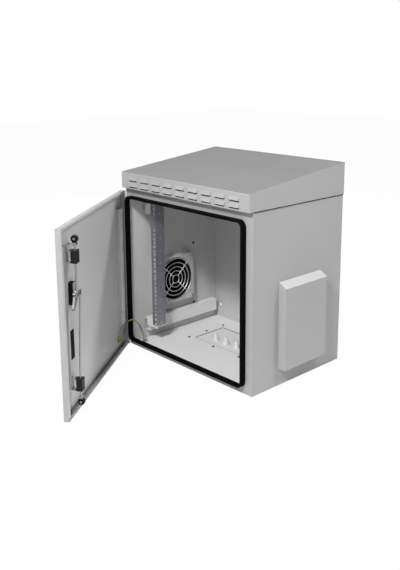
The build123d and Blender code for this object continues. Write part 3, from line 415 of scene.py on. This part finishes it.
def wire_sheath(name, green, yellow):
    """Green sheath with a yellow stripe that winds slowly round it."""
    finish = Finish(name)
    turns_per_metre = 9
    laid = finish.add("ShaderNodeUVMap", uv_map="sheath").outputs["UV"]
    parts = finish.add("ShaderNodeSeparateXYZ")
    finish.join(laid, parts.inputs["Vector"])
    wound = finish.add("ShaderNodeMath", operation="MULTIPLY_ADD")
    wound.inputs[1].default_value = turns_per_metre
    finish.join(parts.outputs["Y"], wound.inputs[0])
    finish.join(parts.outputs["X"], wound.inputs[2])
    turn_share = finish.add("ShaderNodeMath", operation="FRACT")
    finish.join(wound.outputs[0], turn_share.inputs[0])
    stops = ((0.40, green), (0.44, yellow), (0.92, yellow), (0.96, green))
    stripe = finish.ramp(turn_share.outputs[0], stops)
    scuffed = (0.86, 0.86, 0.84)
    scuff = finish.ramp(finish.noise(scale=420, detail=3), ((0.3, scuffed), (0.7, grey(1.0))))
    finish.colour(finish.mix(1.0, stripe, scuff, "MULTIPLY"))
    finish.rough(finish.noise(scale=300, detail=2), low=0.32, high=0.48)
    finish.bump(finish.noise(scale=900, detail=2), height=0.00008, strength=0.4)
    return finish.material


# Finishes for each material slot
fan_low, fan_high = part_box("fan_frame")
fan_middle = (fan_low + fan_high) / 2
fan_bore = 0.080
bore_margin = 0.0002
paint = (0.375, 0.375, 0.38)
# Inner and door tones paler than the paint, as painted light inside the cabinet.
inner_lit_paint = grey(0.55)
door_lit_inner_paint = grey(0.60)
lit_rail_paint = grey(0.80)
bright_plate = (0.40, 0.40, 0.395)
finishes = {
    "grey_paint": powder_coat("grey_powder_coat", paint),
    "zinc_plate": zinc_plated("bluish_zinc", (0.33, 0.327, 0.368)),
    "black_screw": plated_steel("blackened_steel", grey(0.05)),
    # Fan frame: its bore painted near black as painted shade.
    "cast_alloy": bored_casting(
        "pale_die_casting", grey(0.52), grey(0.012), fan_middle, fan_bore + bore_margin
    ),
    "bright_steel": plated_steel("bright_plated_steel", bright_plate),
    "black_rubber": foam_rubber("black_seal_rubber", (0.0025, 0.0025, 0.0028)),
    "black_plastic": moulded_plastic("black_moulded_plastic", (0.010, 0.010, 0.011)),
    "black_handle": moulded_plastic("satin_black_casting", (0.018, 0.018, 0.019), low=0.28, high=0.4),
    "pale_rubber": soft_rubber("pale_grommet_rubber", (0.72, 0.72, 0.71)),
    "wire_sheath": wire_sheath("green_yellow_sheath", (0.075, 0.115, 0.05), (0.37, 0.34, 0.14)),
}

# Finishes of single nodes, where a face or an end has a tone of its own, several of them painted light or
# shade
door_angle = math.radians(53)
door_inwards = (math.sin(door_angle), math.cos(door_angle), 0)
along_door = (math.cos(door_angle), -math.sin(door_angle), 0)
door_lip_top = 0.0132
bare_lock_above = 0.32
own_finishes = {
    # Roof painted darker on top as painted shade.
    "roof_hood": top_shaded_coat("top_shaded_roof_coat", paint, (0.18, 0.18, 0.184)),
    # Floor and gland plate painted paler than the walls, as painted light on the floor.
    "floor_panel": powder_coat("pale_floor_coat", grey(0.83)),
    "gland_plate": powder_coat("pale_plate_coat", grey(0.80)),
    # Walls' inner sides painted paler as painted light.
    "back_wall": powder_coat("back_wall_coat", paint, inner_lit_paint, (0, -1, 0)),
    # Left wall's inner side also has a painted shade disc behind the fan.
    "left_wall": powder_coat(
        "left_wall_coat", paint, inner_lit_paint, (1, 0, 0), painted_shade_disc=(fan_middle, fan_bore)
    ),
    "right_wall": powder_coat("right_wall_coat", paint, inner_lit_paint, (-1, 0, 0)),
    # Door's inner side painted paler as painted light, with a painted shade band along the bottom lip.
    "door_panel": powder_coat("door_coat", paint, door_lit_inner_paint, door_inwards, painted_shade_below=door_lip_top),
    # Hinge strip: inward face painted pale as painted light, sides darker as painted shade.
    "hinge_strip": powder_coat("hinge_strip_coat", grey(0.36), grey(0.88), door_inwards),
    "door_earth_stud": plated_steel("yellow_passivated_stud", (0.30, 0.26, 0.12)),
    "escutcheon": lock_casting(
        "black_lock_casting", grey(0.007), grey(0.42), door_inwards, bare_lock_above
    ),
    "fan_rotor": foam_rubber("dull_black_blades", grey(0.005)),
}
# Pieces wholly inside, painted paler as painted light.
lit_inner_coat = powder_coat("lit_inner_coat", inner_lit_paint)
for node in ("top_panel", "lock_channel"):
    own_finishes[node] = lit_inner_coat

# Depth rails and their brackets painted paler than the body, as painted light.
rail_coat = powder_coat("pale_rail_coat", lit_rail_paint)
# Slope of the hoods' tops, painted paler as a painted highlight.
hood_slope = 0.48
hood_rise = 0.88
for side, outwards in (("left", -1), ("right", 1)):
    # Hood insides painted near black as painted shade, their top slopes paler as a painted highlight.
    own_finishes[f"{side}_rain_hood"] = powder_coat(
        f"{side}_hood_coat",
        paint,
        painted_shade_black,
        (-outwards, 0, 0),
        painted_highlight_slope=(outwards * hood_slope, 0, hood_rise),
    )
    for level in ("lower", "upper"):
        own_finishes[f"{side}_{level}_depth_rail"] = rail_coat
        own_finishes[f"{side}_{level}_rail_bracket"] = rail_coat

cap_depth = 0.0065
hub_radius = 0.0032
for level in ("lower", "upper"):
    bracket = f"{level}_guide_bracket"
    reach = max(vertex.co.dot(Vector(door_inwards)) for vertex in nodes[bracket].data.vertices)
    own_finishes[bracket] = capped_coat(
        f"{bracket}_coat", grey(0.40), grey(0.008), door_inwards, reach - cap_depth
    )
    roller_low, roller_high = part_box(f"{level}_roller")
    own_finishes[f"{level}_rod"] = sleeved_rod(
        f"{level}_rod_steel",
        bright_plate,
        grey(0.006),
        (roller_low + roller_high) / 2,
        along_door,
        (roller_high.z - roller_low.z) / 2,
        hub_radius,
    )
for row in frame["record"]["subparts"]:
    mesh = nodes[row["node"]].data
    mesh.materials.clear()
    mesh.materials.append(own_finishes.get(row["node"], finishes[row["material_slot"]]))


def made(name, mesh, finish=None):
    """A finished piece at the origin, its place in its mesh."""
    if finish is not None:
        mesh.materials.clear()
        mesh.materials.append(finishes[finish])
    mesh.polygons.foreach_set("use_smooth", [True] * len(mesh.polygons))
    mesh.update()
    piece = bpy.data.objects.new(name, mesh)
    scene.collection.objects.link(piece)
    return piece


# Earth wire, from the door's lug over the rim to the floor's lug
wire_route = (
    (-0.26163, -0.28751, 0.05805),
    (-0.2616, -0.2875, 0.076),
    (-0.262, -0.273, 0.091),
    (-0.266, -0.250, 0.101),
    (-0.268, -0.222, 0.102),
    (-0.269, -0.200, 0.083),
    (-0.269, -0.186, 0.057),
    (-0.268, -0.178, 0.033),
    (-0.268, -0.178, 0.01605),
)
wire_diameter = 0.004
wire_sides = 14
wire_steps = 16


def laid_line(name, route):
    """Points along a smooth spline whose control points are the route."""
    curve = bpy.data.curves.new(name, "CURVE")
    curve.dimensions = "3D"
    curve.resolution_u = wire_steps
    spline = curve.splines.new("NURBS")
    spline.points.add(len(route) - 1)
    for point, place in zip(spline.points, route):
        point.co = (*place, 1)
    spline.order_u = 3
    spline.use_endpoint_u = True
    holder = bpy.data.objects.new(name, curve)
    scene.collection.objects.link(holder)
    line = bpy.data.meshes.new_from_object(holder.evaluated_get(bpy.context.evaluated_depsgraph_get()))
    points = [vertex.co.copy() for vertex in line.vertices]
    bpy.data.objects.remove(holder)
    bpy.data.meshes.remove(line)
    return points


def tube(name, points, radius, sides):
    """Round tube along the points, with a map of turn and length on its skin."""
    shape = bmesh.new()
    layer = shape.loops.layers.uv.new("sheath")
    side = (points[1] - points[0]).orthogonal().normalized()
    angles = [2 * math.pi * step / sides for step in range(sides)]
    rings = []
    runs = []
    run = 0.0
    for index, point in enumerate(points):
        before = points[max(index - 1, 0)]
        after = points[min(index + 1, len(points) - 1)]
        ahead = (after - before).normalized()
        side = (side - ahead * side.dot(ahead)).normalized()
        other = ahead.cross(side)
        run += (point - before).length
        runs.append(run)
        rings.append([
            shape.verts.new(point + (side * math.cos(angle) + other * math.sin(angle)) * radius)
            for angle in angles
        ])
    for index in range(len(rings) - 1):
        for step in range(sides):
            following = (step + 1) % sides
            face = shape.faces.new((
                rings[index][step],
                rings[index][following],
                rings[index + 1][following],
                rings[index + 1][step],
            ))
            shares = ((step, index), (step + 1, index), (step + 1, index + 1), (step, index + 1))
            for loop, (around, along) in zip(face.loops, shares):
                loop[layer].uv = (around / sides, runs[along])
    shape.faces.new(rings[0][::-1])
    shape.faces.new(rings[-1])
    mesh = bpy.data.meshes.new(name)
    shape.to_mesh(mesh)
    shape.free()
    return mesh


wire_line = laid_line("earth_wire_line", wire_route)
wire_mesh = tube("earth_wire_sheath", wire_line, wire_diameter / 2, wire_sides)
earth_wire = made("earth_wire_sheath", wire_mesh, "wire_sheath")
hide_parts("earth_wire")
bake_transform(earth_wire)


def tree_with(name, inputs):
    """Empty geometry tree with named inputs, and its two end nodes."""
    tree = bpy.data.node_groups.new(name, "GeometryNodeTree")
    for label, kind in inputs:
        tree.interface.new_socket(label, in_out="INPUT", socket_type=kind)
    tree.interface.new_socket("Geometry", in_out="OUTPUT", socket_type="NodeSocketGeometry")
    start = tree.nodes.new("NodeGroupInput")
    end = tree.nodes.new("NodeGroupOutput")
    return tree, start.outputs, end.inputs["Geometry"]


def grown(name, tree, values, points=()):
    """Runs a tree on loose points and keeps the result as a plain mesh piece."""
    seed_mesh = bpy.data.meshes.new(name)
    seed_mesh.from_pydata(list(points), [], [])
    holder = bpy.data.objects.new(name, seed_mesh)
    scene.collection.objects.link(holder)
    modifier = holder.modifiers.new("grown", "NODES")
    modifier.node_group = tree
    for socket in tree.interface.items_tree:
        if socket.in_out == "INPUT" and socket.name in values:
            modifier[socket.identifier] = values[socket.name]
    mesh = bpy.data.meshes.new_from_object(holder.evaluated_get(bpy.context.evaluated_depsgraph_get()))
    holder.modifiers.remove(modifier)
    bpy.data.objects.remove(holder)
    bpy.data.meshes.remove(seed_mesh)
    return made(name, mesh)


ring_steps = 72
eye_steps = 28
section_steps = 8
arm_count = 4


def wire_guard_tree():
    """Concentric wire rings on four arms that end in screw eyes, facing +Z."""
    tree, given, result = tree_with("wire_guard", (
        ("Rings", "NodeSocketInt"),
        ("Ring pitch", "NodeSocketFloat"),
        ("Wire radius", "NodeSocketFloat"),
        ("Arm start", "NodeSocketFloat"),
        ("Arm end", "NodeSocketFloat"),
        ("Eye radius", "NodeSocketFloat"),
        ("Facing", "NodeSocketRotation"),
        ("Centre", "NodeSocketVector"),
        ("Finish", "NodeSocketMaterial"),
    ))

    def add(kind, **settings):
        node = tree.nodes.new(kind)
        for key, value in settings.items():
            setattr(node, key, value)
        return node

    join = tree.links.new
    row = add("GeometryNodeMeshLine")
    join(given["Rings"], row.inputs["Count"])
    row.inputs["Offset"].default_value = (0, 0, 0)
    number = add("GeometryNodeInputIndex")
    step = add("ShaderNodeMath", operation="ADD")
    step.inputs[1].default_value = 1
    join(number.outputs[0], step.inputs[0])
    reach = add("ShaderNodeMath", operation="MULTIPLY")
    join(step.outputs[0], reach.inputs[0])
    join(given["Ring pitch"], reach.inputs[1])
    ring = add("GeometryNodeCurvePrimitiveCircle")
    ring.inputs["Resolution"].default_value = ring_steps
    ring.inputs["Radius"].default_value = 1
    rings = add("GeometryNodeInstanceOnPoints")
    join(row.outputs["Mesh"], rings.inputs["Points"])
    join(ring.outputs["Curve"], rings.inputs["Instance"])
    join(reach.outputs[0], rings.inputs["Scale"])

    arm_from = add("ShaderNodeCombineXYZ")
    join(given["Arm start"], arm_from.inputs["X"])
    arm_to = add("ShaderNodeCombineXYZ")
    join(given["Arm end"], arm_to.inputs["X"])
    arm = add("GeometryNodeCurvePrimitiveLine")
    join(arm_from.outputs[0], arm.inputs["Start"])
    join(arm_to.outputs[0], arm.inputs["End"])
    eye_curve = add("GeometryNodeCurvePrimitiveCircle")
    eye_curve.inputs["Resolution"].default_value = eye_steps
    join(given["Eye radius"], eye_curve.inputs["Radius"])
    eye_gap = add("ShaderNodeMath", operation="ADD")
    join(given["Arm end"], eye_gap.inputs[0])
    join(given["Eye radius"], eye_gap.inputs[1])
    eye_place = add("ShaderNodeCombineXYZ")
    join(eye_gap.outputs[0], eye_place.inputs["X"])
    moved_eye = add("GeometryNodeTransform")
    join(eye_curve.outputs["Curve"], moved_eye.inputs["Geometry"])
    join(eye_place.outputs[0], moved_eye.inputs["Translation"])
    arm_set = add("GeometryNodeJoinGeometry")
    join(arm.outputs["Curve"], arm_set.inputs[0])
    join(moved_eye.outputs["Geometry"], arm_set.inputs[0])
    quarter = add("GeometryNodeMeshLine")
    quarter.inputs["Count"].default_value = arm_count
    quarter.inputs["Offset"].default_value = (0, 0, 0)
    angle = add("ShaderNodeMath", operation="MULTIPLY_ADD")
    angle.inputs[1].default_value = 2 * math.pi / arm_count
    angle.inputs[2].default_value = math.pi / arm_count
    arm_number = add("GeometryNodeInputIndex")
    join(arm_number.outputs[0], angle.inputs[0])
    about = add("ShaderNodeCombineXYZ")
    join(angle.outputs[0], about.inputs["Z"])
    arms = add("GeometryNodeInstanceOnPoints")
    join(quarter.outputs["Mesh"], arms.inputs["Points"])
    join(arm_set.outputs[0], arms.inputs["Instance"])
    join(about.outputs[0], arms.inputs["Rotation"])

    lines = add("GeometryNodeJoinGeometry")
    join(rings.outputs[0], lines.inputs[0])
    join(arms.outputs[0], lines.inputs[0])
    real = add("GeometryNodeRealizeInstances")
    join(lines.outputs[0], real.inputs[0])
    section = add("GeometryNodeCurvePrimitiveCircle")
    section.inputs["Resolution"].default_value = section_steps
    join(given["Wire radius"], section.inputs["Radius"])
    wire = add("GeometryNodeCurveToMesh")
    wire.inputs["Fill Caps"].default_value = True
    join(real.outputs[0], wire.inputs["Curve"])
    join(section.outputs["Curve"], wire.inputs["Profile Curve"])
    stood = add("GeometryNodeTransform")
    join(wire.outputs["Mesh"], stood.inputs["Geometry"])
    join(given["Facing"], stood.inputs["Rotation"])
    join(given["Centre"], stood.inputs["Translation"])
    whole = add("GeometryNodeRealizeInstances")
    join(stood.outputs["Geometry"], whole.inputs[0])
    painted = add("GeometryNodeSetMaterial")
    join(whole.outputs[0], painted.inputs["Geometry"])
    join(given["Finish"], painted.inputs["Material"])
    join(painted.outputs["Geometry"], result)
    return tree


def placed_parts_tree():
    """One part set on every point, facing one way, each turned by its own random angle."""
    tree, given, result = tree_with("placed_parts", (
        ("Places", "NodeSocketGeometry"),
        ("Part", "NodeSocketObject"),
        ("Size", "NodeSocketFloat"),
        ("Facing", "NodeSocketRotation"),
        ("Most turn", "NodeSocketFloat"),
        ("Seed", "NodeSocketInt"),
        ("Finish", "NodeSocketMaterial"),
    ))
    join = tree.links.new
    part = tree.nodes.new("GeometryNodeObjectInfo")
    join(given["Part"], part.inputs["Object"])
    chance = tree.nodes.new("FunctionNodeRandomValue")
    chance.data_type = "FLOAT"
    join(given["Most turn"], chance.inputs[3])
    join(given["Seed"], chance.inputs["Seed"])
    own_turn = tree.nodes.new("FunctionNodeAxisAngleToRotation")
    own_turn.inputs["Axis"].default_value = (0, 0, 1)
    join(chance.outputs[1], own_turn.inputs["Angle"])
    facing = tree.nodes.new("FunctionNodeRotateRotation")
    facing.rotation_space = "LOCAL"
    join(given["Facing"], facing.inputs["Rotation"])
    join(own_turn.outputs[0], facing.inputs["Rotate By"])
    parts = tree.nodes.new("GeometryNodeInstanceOnPoints")
    join(given["Places"], parts.inputs["Points"])
    join(part.outputs["Geometry"], parts.inputs["Instance"])
    join(facing.outputs[0], parts.inputs["Rotation"])
    join(given["Size"], parts.inputs["Scale"])
    whole = tree.nodes.new("GeometryNodeRealizeInstances")
    join(parts.outputs[0], whole.inputs[0])
    painted = tree.nodes.new("GeometryNodeSetMaterial")
    join(whole.outputs[0], painted.inputs["Geometry"])
    join(given["Finish"], painted.inputs["Material"])
    join(painted.outputs["Geometry"], result)
    return tree


def turned(name, profile, sides):
    """Closed turned part about Z from a profile of radius and height, on the axis at both ends."""
    shape = bmesh.new()
    angles = [2 * math.pi * step / sides for step in range(sides)]
    rings = []
    for radius, height in profile:
        if radius == 0:
            rings.append([shape.verts.new((0, 0, height))])
            continue
        rings.append([
            shape.verts.new((radius * math.cos(angle), radius * math.sin(angle), height))
            for angle in angles
        ])
    for lower, upper in zip(rings, rings[1:]):
        for step in range(sides):
            following = (step + 1) % sides
            corners = [lower[step % len(lower)], lower[following % len(lower)]]
            corners += [upper[following % len(upper)], upper[step % len(upper)]]
            shape.faces.new(dict.fromkeys(corners))
    bmesh.ops.recalc_face_normals(shape, faces=shape.faces)
    mesh = bpy.data.meshes.new(name)
    shape.to_mesh(mesh)
    shape.free()
    return mesh


def pan_head_screw(head, height, shank, length):
    """Pan head with a pressed cross recess, its seat at the origin, facing +Z."""
    mesh = turned("pan_head", (
        (0, -length), (shank * 0.6, -length), (shank, -length + shank * 0.5), (shank, 0), (head, 0),
        (head, height * 0.45), (head * 0.93, height * 0.72), (head * 0.74, height * 0.91),
        (head * 0.5, height), (0, height),
    ), screw_sides)
    body = bpy.data.objects.new("pan_head", mesh)
    scene.collection.objects.link(body)
    recess_bottom = (head * 0.55, head * 0.2, height * 0.35)
    recess_top = (head * 1.16, head * 0.27, height * 1.3)
    cutters = []
    for quarter in (0, 1):
        shape = bmesh.new()
        bmesh.ops.create_cube(shape, size=1)
        for vertex in shape.verts:
            length_there, width_there, level = recess_bottom if vertex.co.z < 0 else recess_top
            vertex.co.x *= length_there
            vertex.co.y *= width_there
            vertex.co.z = level
        bmesh.ops.rotate(shape, verts=shape.verts, matrix=Matrix.Rotation(quarter * math.pi / 2, 3, "Z"))
        cut_mesh = bpy.data.meshes.new("recess")
        shape.to_mesh(cut_mesh)
        shape.free()
        cutter = bpy.data.objects.new("recess", cut_mesh)
        scene.collection.objects.link(cutter)
        modifier = body.modifiers.new("recess", "BOOLEAN")
        modifier.operation = "DIFFERENCE"
        modifier.solver = "EXACT"
        modifier.object = cutter
        cutters.append(cutter)
    bpy.context.view_layer.update()
    cut = bpy.data.meshes.new_from_object(body.evaluated_get(bpy.context.evaluated_depsgraph_get()))
    body.modifiers.clear()
    body.data = cut
    for cutter in cutters:
        bpy.data.objects.remove(cutter)
    return body


def facing_way(direction):
    return Vector(direction).to_track_quat("Z", "Y").to_euler()


chromed_wire = plated_steel("chromed_guard_wire", grey(0.92))
guard_tree = wire_guard_tree()
parts_tree = placed_parts_tree()

# Fan guard of round wire in front of the fan frame
guard_wire = 0.0028
ring_pitch = 0.0154
fan_hole_span = 0.156
eye_radius = 0.0038
ring_count = 5
eye_distance = fan_hole_span / 2 * math.sqrt(2)
fan_guard = grown("fan_guard_wire", guard_tree, {
    "Rings": ring_count,
    "Ring pitch": ring_pitch,
    "Wire radius": guard_wire / 2,
    "Arm start": ring_pitch,
    "Arm end": eye_distance - eye_radius,
    "Eye radius": eye_radius,
    "Facing": facing_way((1, 0, 0)),
    "Centre": (fan_high.x + guard_wire / 2, fan_middle.y, fan_middle.z),
    "Finish": chromed_wire,
})
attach(fan_guard, "cabinet")
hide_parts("fan_guard")

# Cross-head screws in the gland plate, the rain hoods and the fan:
# piece, node, the way it faces, shank radius, shank length and slot
screw_sets = (
    ("gland_plate_screws", "plate_screws", (0, 0, 1), 0.0025, 0.0027, "black_screw"),
    ("left_hood_pan_screws", "left_hood_screws", (1, 0, 0), 0.0025, 0.0030, "black_screw"),
    ("right_hood_pan_screws", "right_hood_screws", (-1, 0, 0), 0.0025, 0.0030, "black_screw"),
    ("fan_pan_screws", "fan_screws", (1, 0, 0), 0.00225, 0.0279, "bright_steel"),
)
screw_head = 0.0045
screw_head_height = 0.0025
screw_sides = 24
weld_distance = 1e-6


def node_islands(node):
    """Corners of the box round each solid in a node."""
    shape = bmesh.new()
    shape.from_mesh(nodes[node].data)
    bmesh.ops.remove_doubles(shape, verts=shape.verts, dist=weld_distance)
    left = set(shape.verts)
    boxes = []
    while left:
        queue = [left.pop()]
        found = []
        while queue:
            vertex = queue.pop()
            found.append(vertex.co.copy())
            for edge in vertex.link_edges:
                other = edge.other_vert(vertex)
                if other in left:
                    left.remove(other)
                    queue.append(other)
        low = Vector(min(point[axis] for point in found) for axis in range(3))
        high = Vector(max(point[axis] for point in found) for axis in range(3))
        boxes.append((low, high))
    shape.free()
    return sorted(boxes, key=lambda box: tuple(round(part, 5) for part in box[0]))


for seed, (name, node, outwards, shank, length, finish) in enumerate(screw_sets):
    outwards = Vector(outwards)
    seats = []
    for low, high in node_islands(node):
        middle = (low + high) / 2
        top = max(outwards.dot(low), outwards.dot(high))
        seats.append(middle + outwards * (top - outwards.dot(middle) - screw_head_height))
    screw = pan_head_screw(screw_head, screw_head_height, shank, length)
    screws = grown(name, parts_tree, {
        "Part": screw,
        "Size": 1.0,
        "Facing": facing_way(outwards),
        "Most turn": math.pi / 2,
        "Seed": seed,
        "Finish": finishes[finish],
    }, seats)
    bpy.data.objects.remove(screw)
    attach(screws, "cabinet")
    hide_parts(node)

# Stepped cone grommets in the gland plate
grommet_boxes = node_islands("grommets")
low, high = grommet_boxes[0]
cone_height = high.z - low.z
cone_sides = 32
cone_profile = (
    (0, cone_height - 0.0016), (0.0032, cone_height - 0.0018), (0.0094, 0.0016), (0.0094, 0),
    (0.0110, 0), (0.0110, 0.0012), (0.0148, 0.0013), (0.0150, 0.0019), (0.0150, 0.0032),
    (0.0145, 0.0038), (0.0112, 0.0040), (0.0109, 0.0046), (0.0100, 0.0100), (0.0091, 0.0103),
    (0.0082, 0.0160), (0.0073, 0.0163), (0.0064, 0.0222), (0.0055, 0.0225),
    (0.0050, cone_height - 0.0009), (0.0042, cone_height), (0, cone_height),
)
cone = bpy.data.objects.new("cone", turned("cone", cone_profile, cone_sides))
scene.collection.objects.link(cone)
cone_seats = [((low.x + high.x) / 2, (low.y + high.y) / 2, low.z) for low, high in grommet_boxes]
grommets = grown("grommet_cones", parts_tree, {
    "Part": cone,
    "Size": 1.0,
    "Facing": facing_way((0, 0, 1)),
    "Most turn": 0.0,
    "Seed": 0,
    "Finish": finishes["pale_rubber"],
}, cone_seats)
bpy.data.objects.remove(cone)
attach(grommets, "cabinet")
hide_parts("grommets")

# Pale studio floor, white to the lens, that keeps the cabinet's shadow
white_share = 0.97


def to_the_eye(tree):
    """1 where the lens, a mirror or glass looks straight at the surface."""
    path = tree.nodes.new("ShaderNodeLightPath")
    total = None
    for label in ("Is Camera Ray", "Is Glossy Ray", "Is Transmission Ray"):
        if total is None:
            total = path.outputs[label]
            continue
        add = tree.nodes.new("ShaderNodeMath")
        add.operation = "MAXIMUM"
        tree.links.new(total, add.inputs[0])
        tree.links.new(path.outputs[label], add.inputs[1])
        total = add.outputs[0]
    return total


floor_paint = bpy.data.materials.new("studio_floor")
floor_paint.use_nodes = True
tree = floor_paint.node_tree
matt = tree.nodes["Principled BSDF"]
matt.inputs["Base Color"].default_value = (0.86, 0.86, 0.86, 1)
matt.inputs["Roughness"].default_value = 0.9
glow = tree.nodes.new("ShaderNodeEmission")
glow.inputs["Strength"].default_value = 1
seen = tree.nodes.new("ShaderNodeMath")
seen.operation = "MULTIPLY"
seen.inputs[1].default_value = white_share
tree.links.new(to_the_eye(tree), seen.inputs[0])
mixed = tree.nodes.new("ShaderNodeMixShader")
tree.links.new(seen.outputs[0], mixed.inputs["Fac"])
tree.links.new(matt.outputs[0], mixed.inputs[1])
tree.links.new(glow.outputs[0], mixed.inputs[2])
tree.links.new(mixed.outputs[0], tree.nodes["Material Output"].inputs["Surface"])

floor_half = 9
floor_drop = 0.0005
floor_mesh = bpy.data.meshes.new("studio_floor")
floor_corners = [
    (-floor_half, -floor_half, -floor_drop),
    (floor_half, -floor_half, -floor_drop),
    (floor_half, floor_half, -floor_drop),
    (-floor_half, floor_half, -floor_drop),
]
floor_mesh.from_pydata(floor_corners, [], [(0, 1, 2, 3)])
floor_mesh.materials.append(floor_paint)
floor = bpy.data.objects.new("studio_floor", floor_mesh)
scene.collection.objects.link(floor)

# Sky light, and three soft boxes
sky_strength = 0.30
sky = bpy.data.worlds.new("studio_sky")
scene.world = sky
sky.use_nodes = True
tree = sky.node_tree
dim = tree.nodes["Background"]
dim.inputs["Color"].default_value = (1, 1, 1, 1)
dim.inputs["Strength"].default_value = sky_strength
bright = tree.nodes.new("ShaderNodeBackground")
bright.inputs["Color"].default_value = (1, 1, 1, 1)
bright.inputs["Strength"].default_value = 1
choice = tree.nodes.new("ShaderNodeMixShader")
tree.links.new(to_the_eye(tree), choice.inputs["Fac"])
tree.links.new(dim.outputs[0], choice.inputs[1])
tree.links.new(bright.outputs[0], choice.inputs[2])
tree.links.new(choice.outputs[0], tree.nodes["World Output"].inputs["Surface"])


def soft_box(name, place, aim, size, power):
    lamp = bpy.data.lights.new(name, "AREA")
    lamp.shape = "RECTANGLE"
    lamp.size, lamp.size_y = size
    lamp.energy = power
    holder = bpy.data.objects.new(name, lamp)
    scene.collection.objects.link(holder)
    way = Vector(aim) - Vector(place)
    holder.matrix_world = Matrix.Translation(place) @ way.to_track_quat("-Z", "Y").to_matrix().to_4x4()


soft_box("front_box", place=(0.85, -1.80, 2.08), aim=(0, 0, 0.1), size=(0.40, 0.30), power=61)
soft_box("right_box", place=(1.9, 0.90, 2.85), aim=(0, -0.3, 0.3), size=(0.3, 0.3), power=39)
soft_box("back_box", place=(-2.4, 2.0, 0.42), aim=(0, 0, 0.3), size=(1.2, 0.5), power=28)
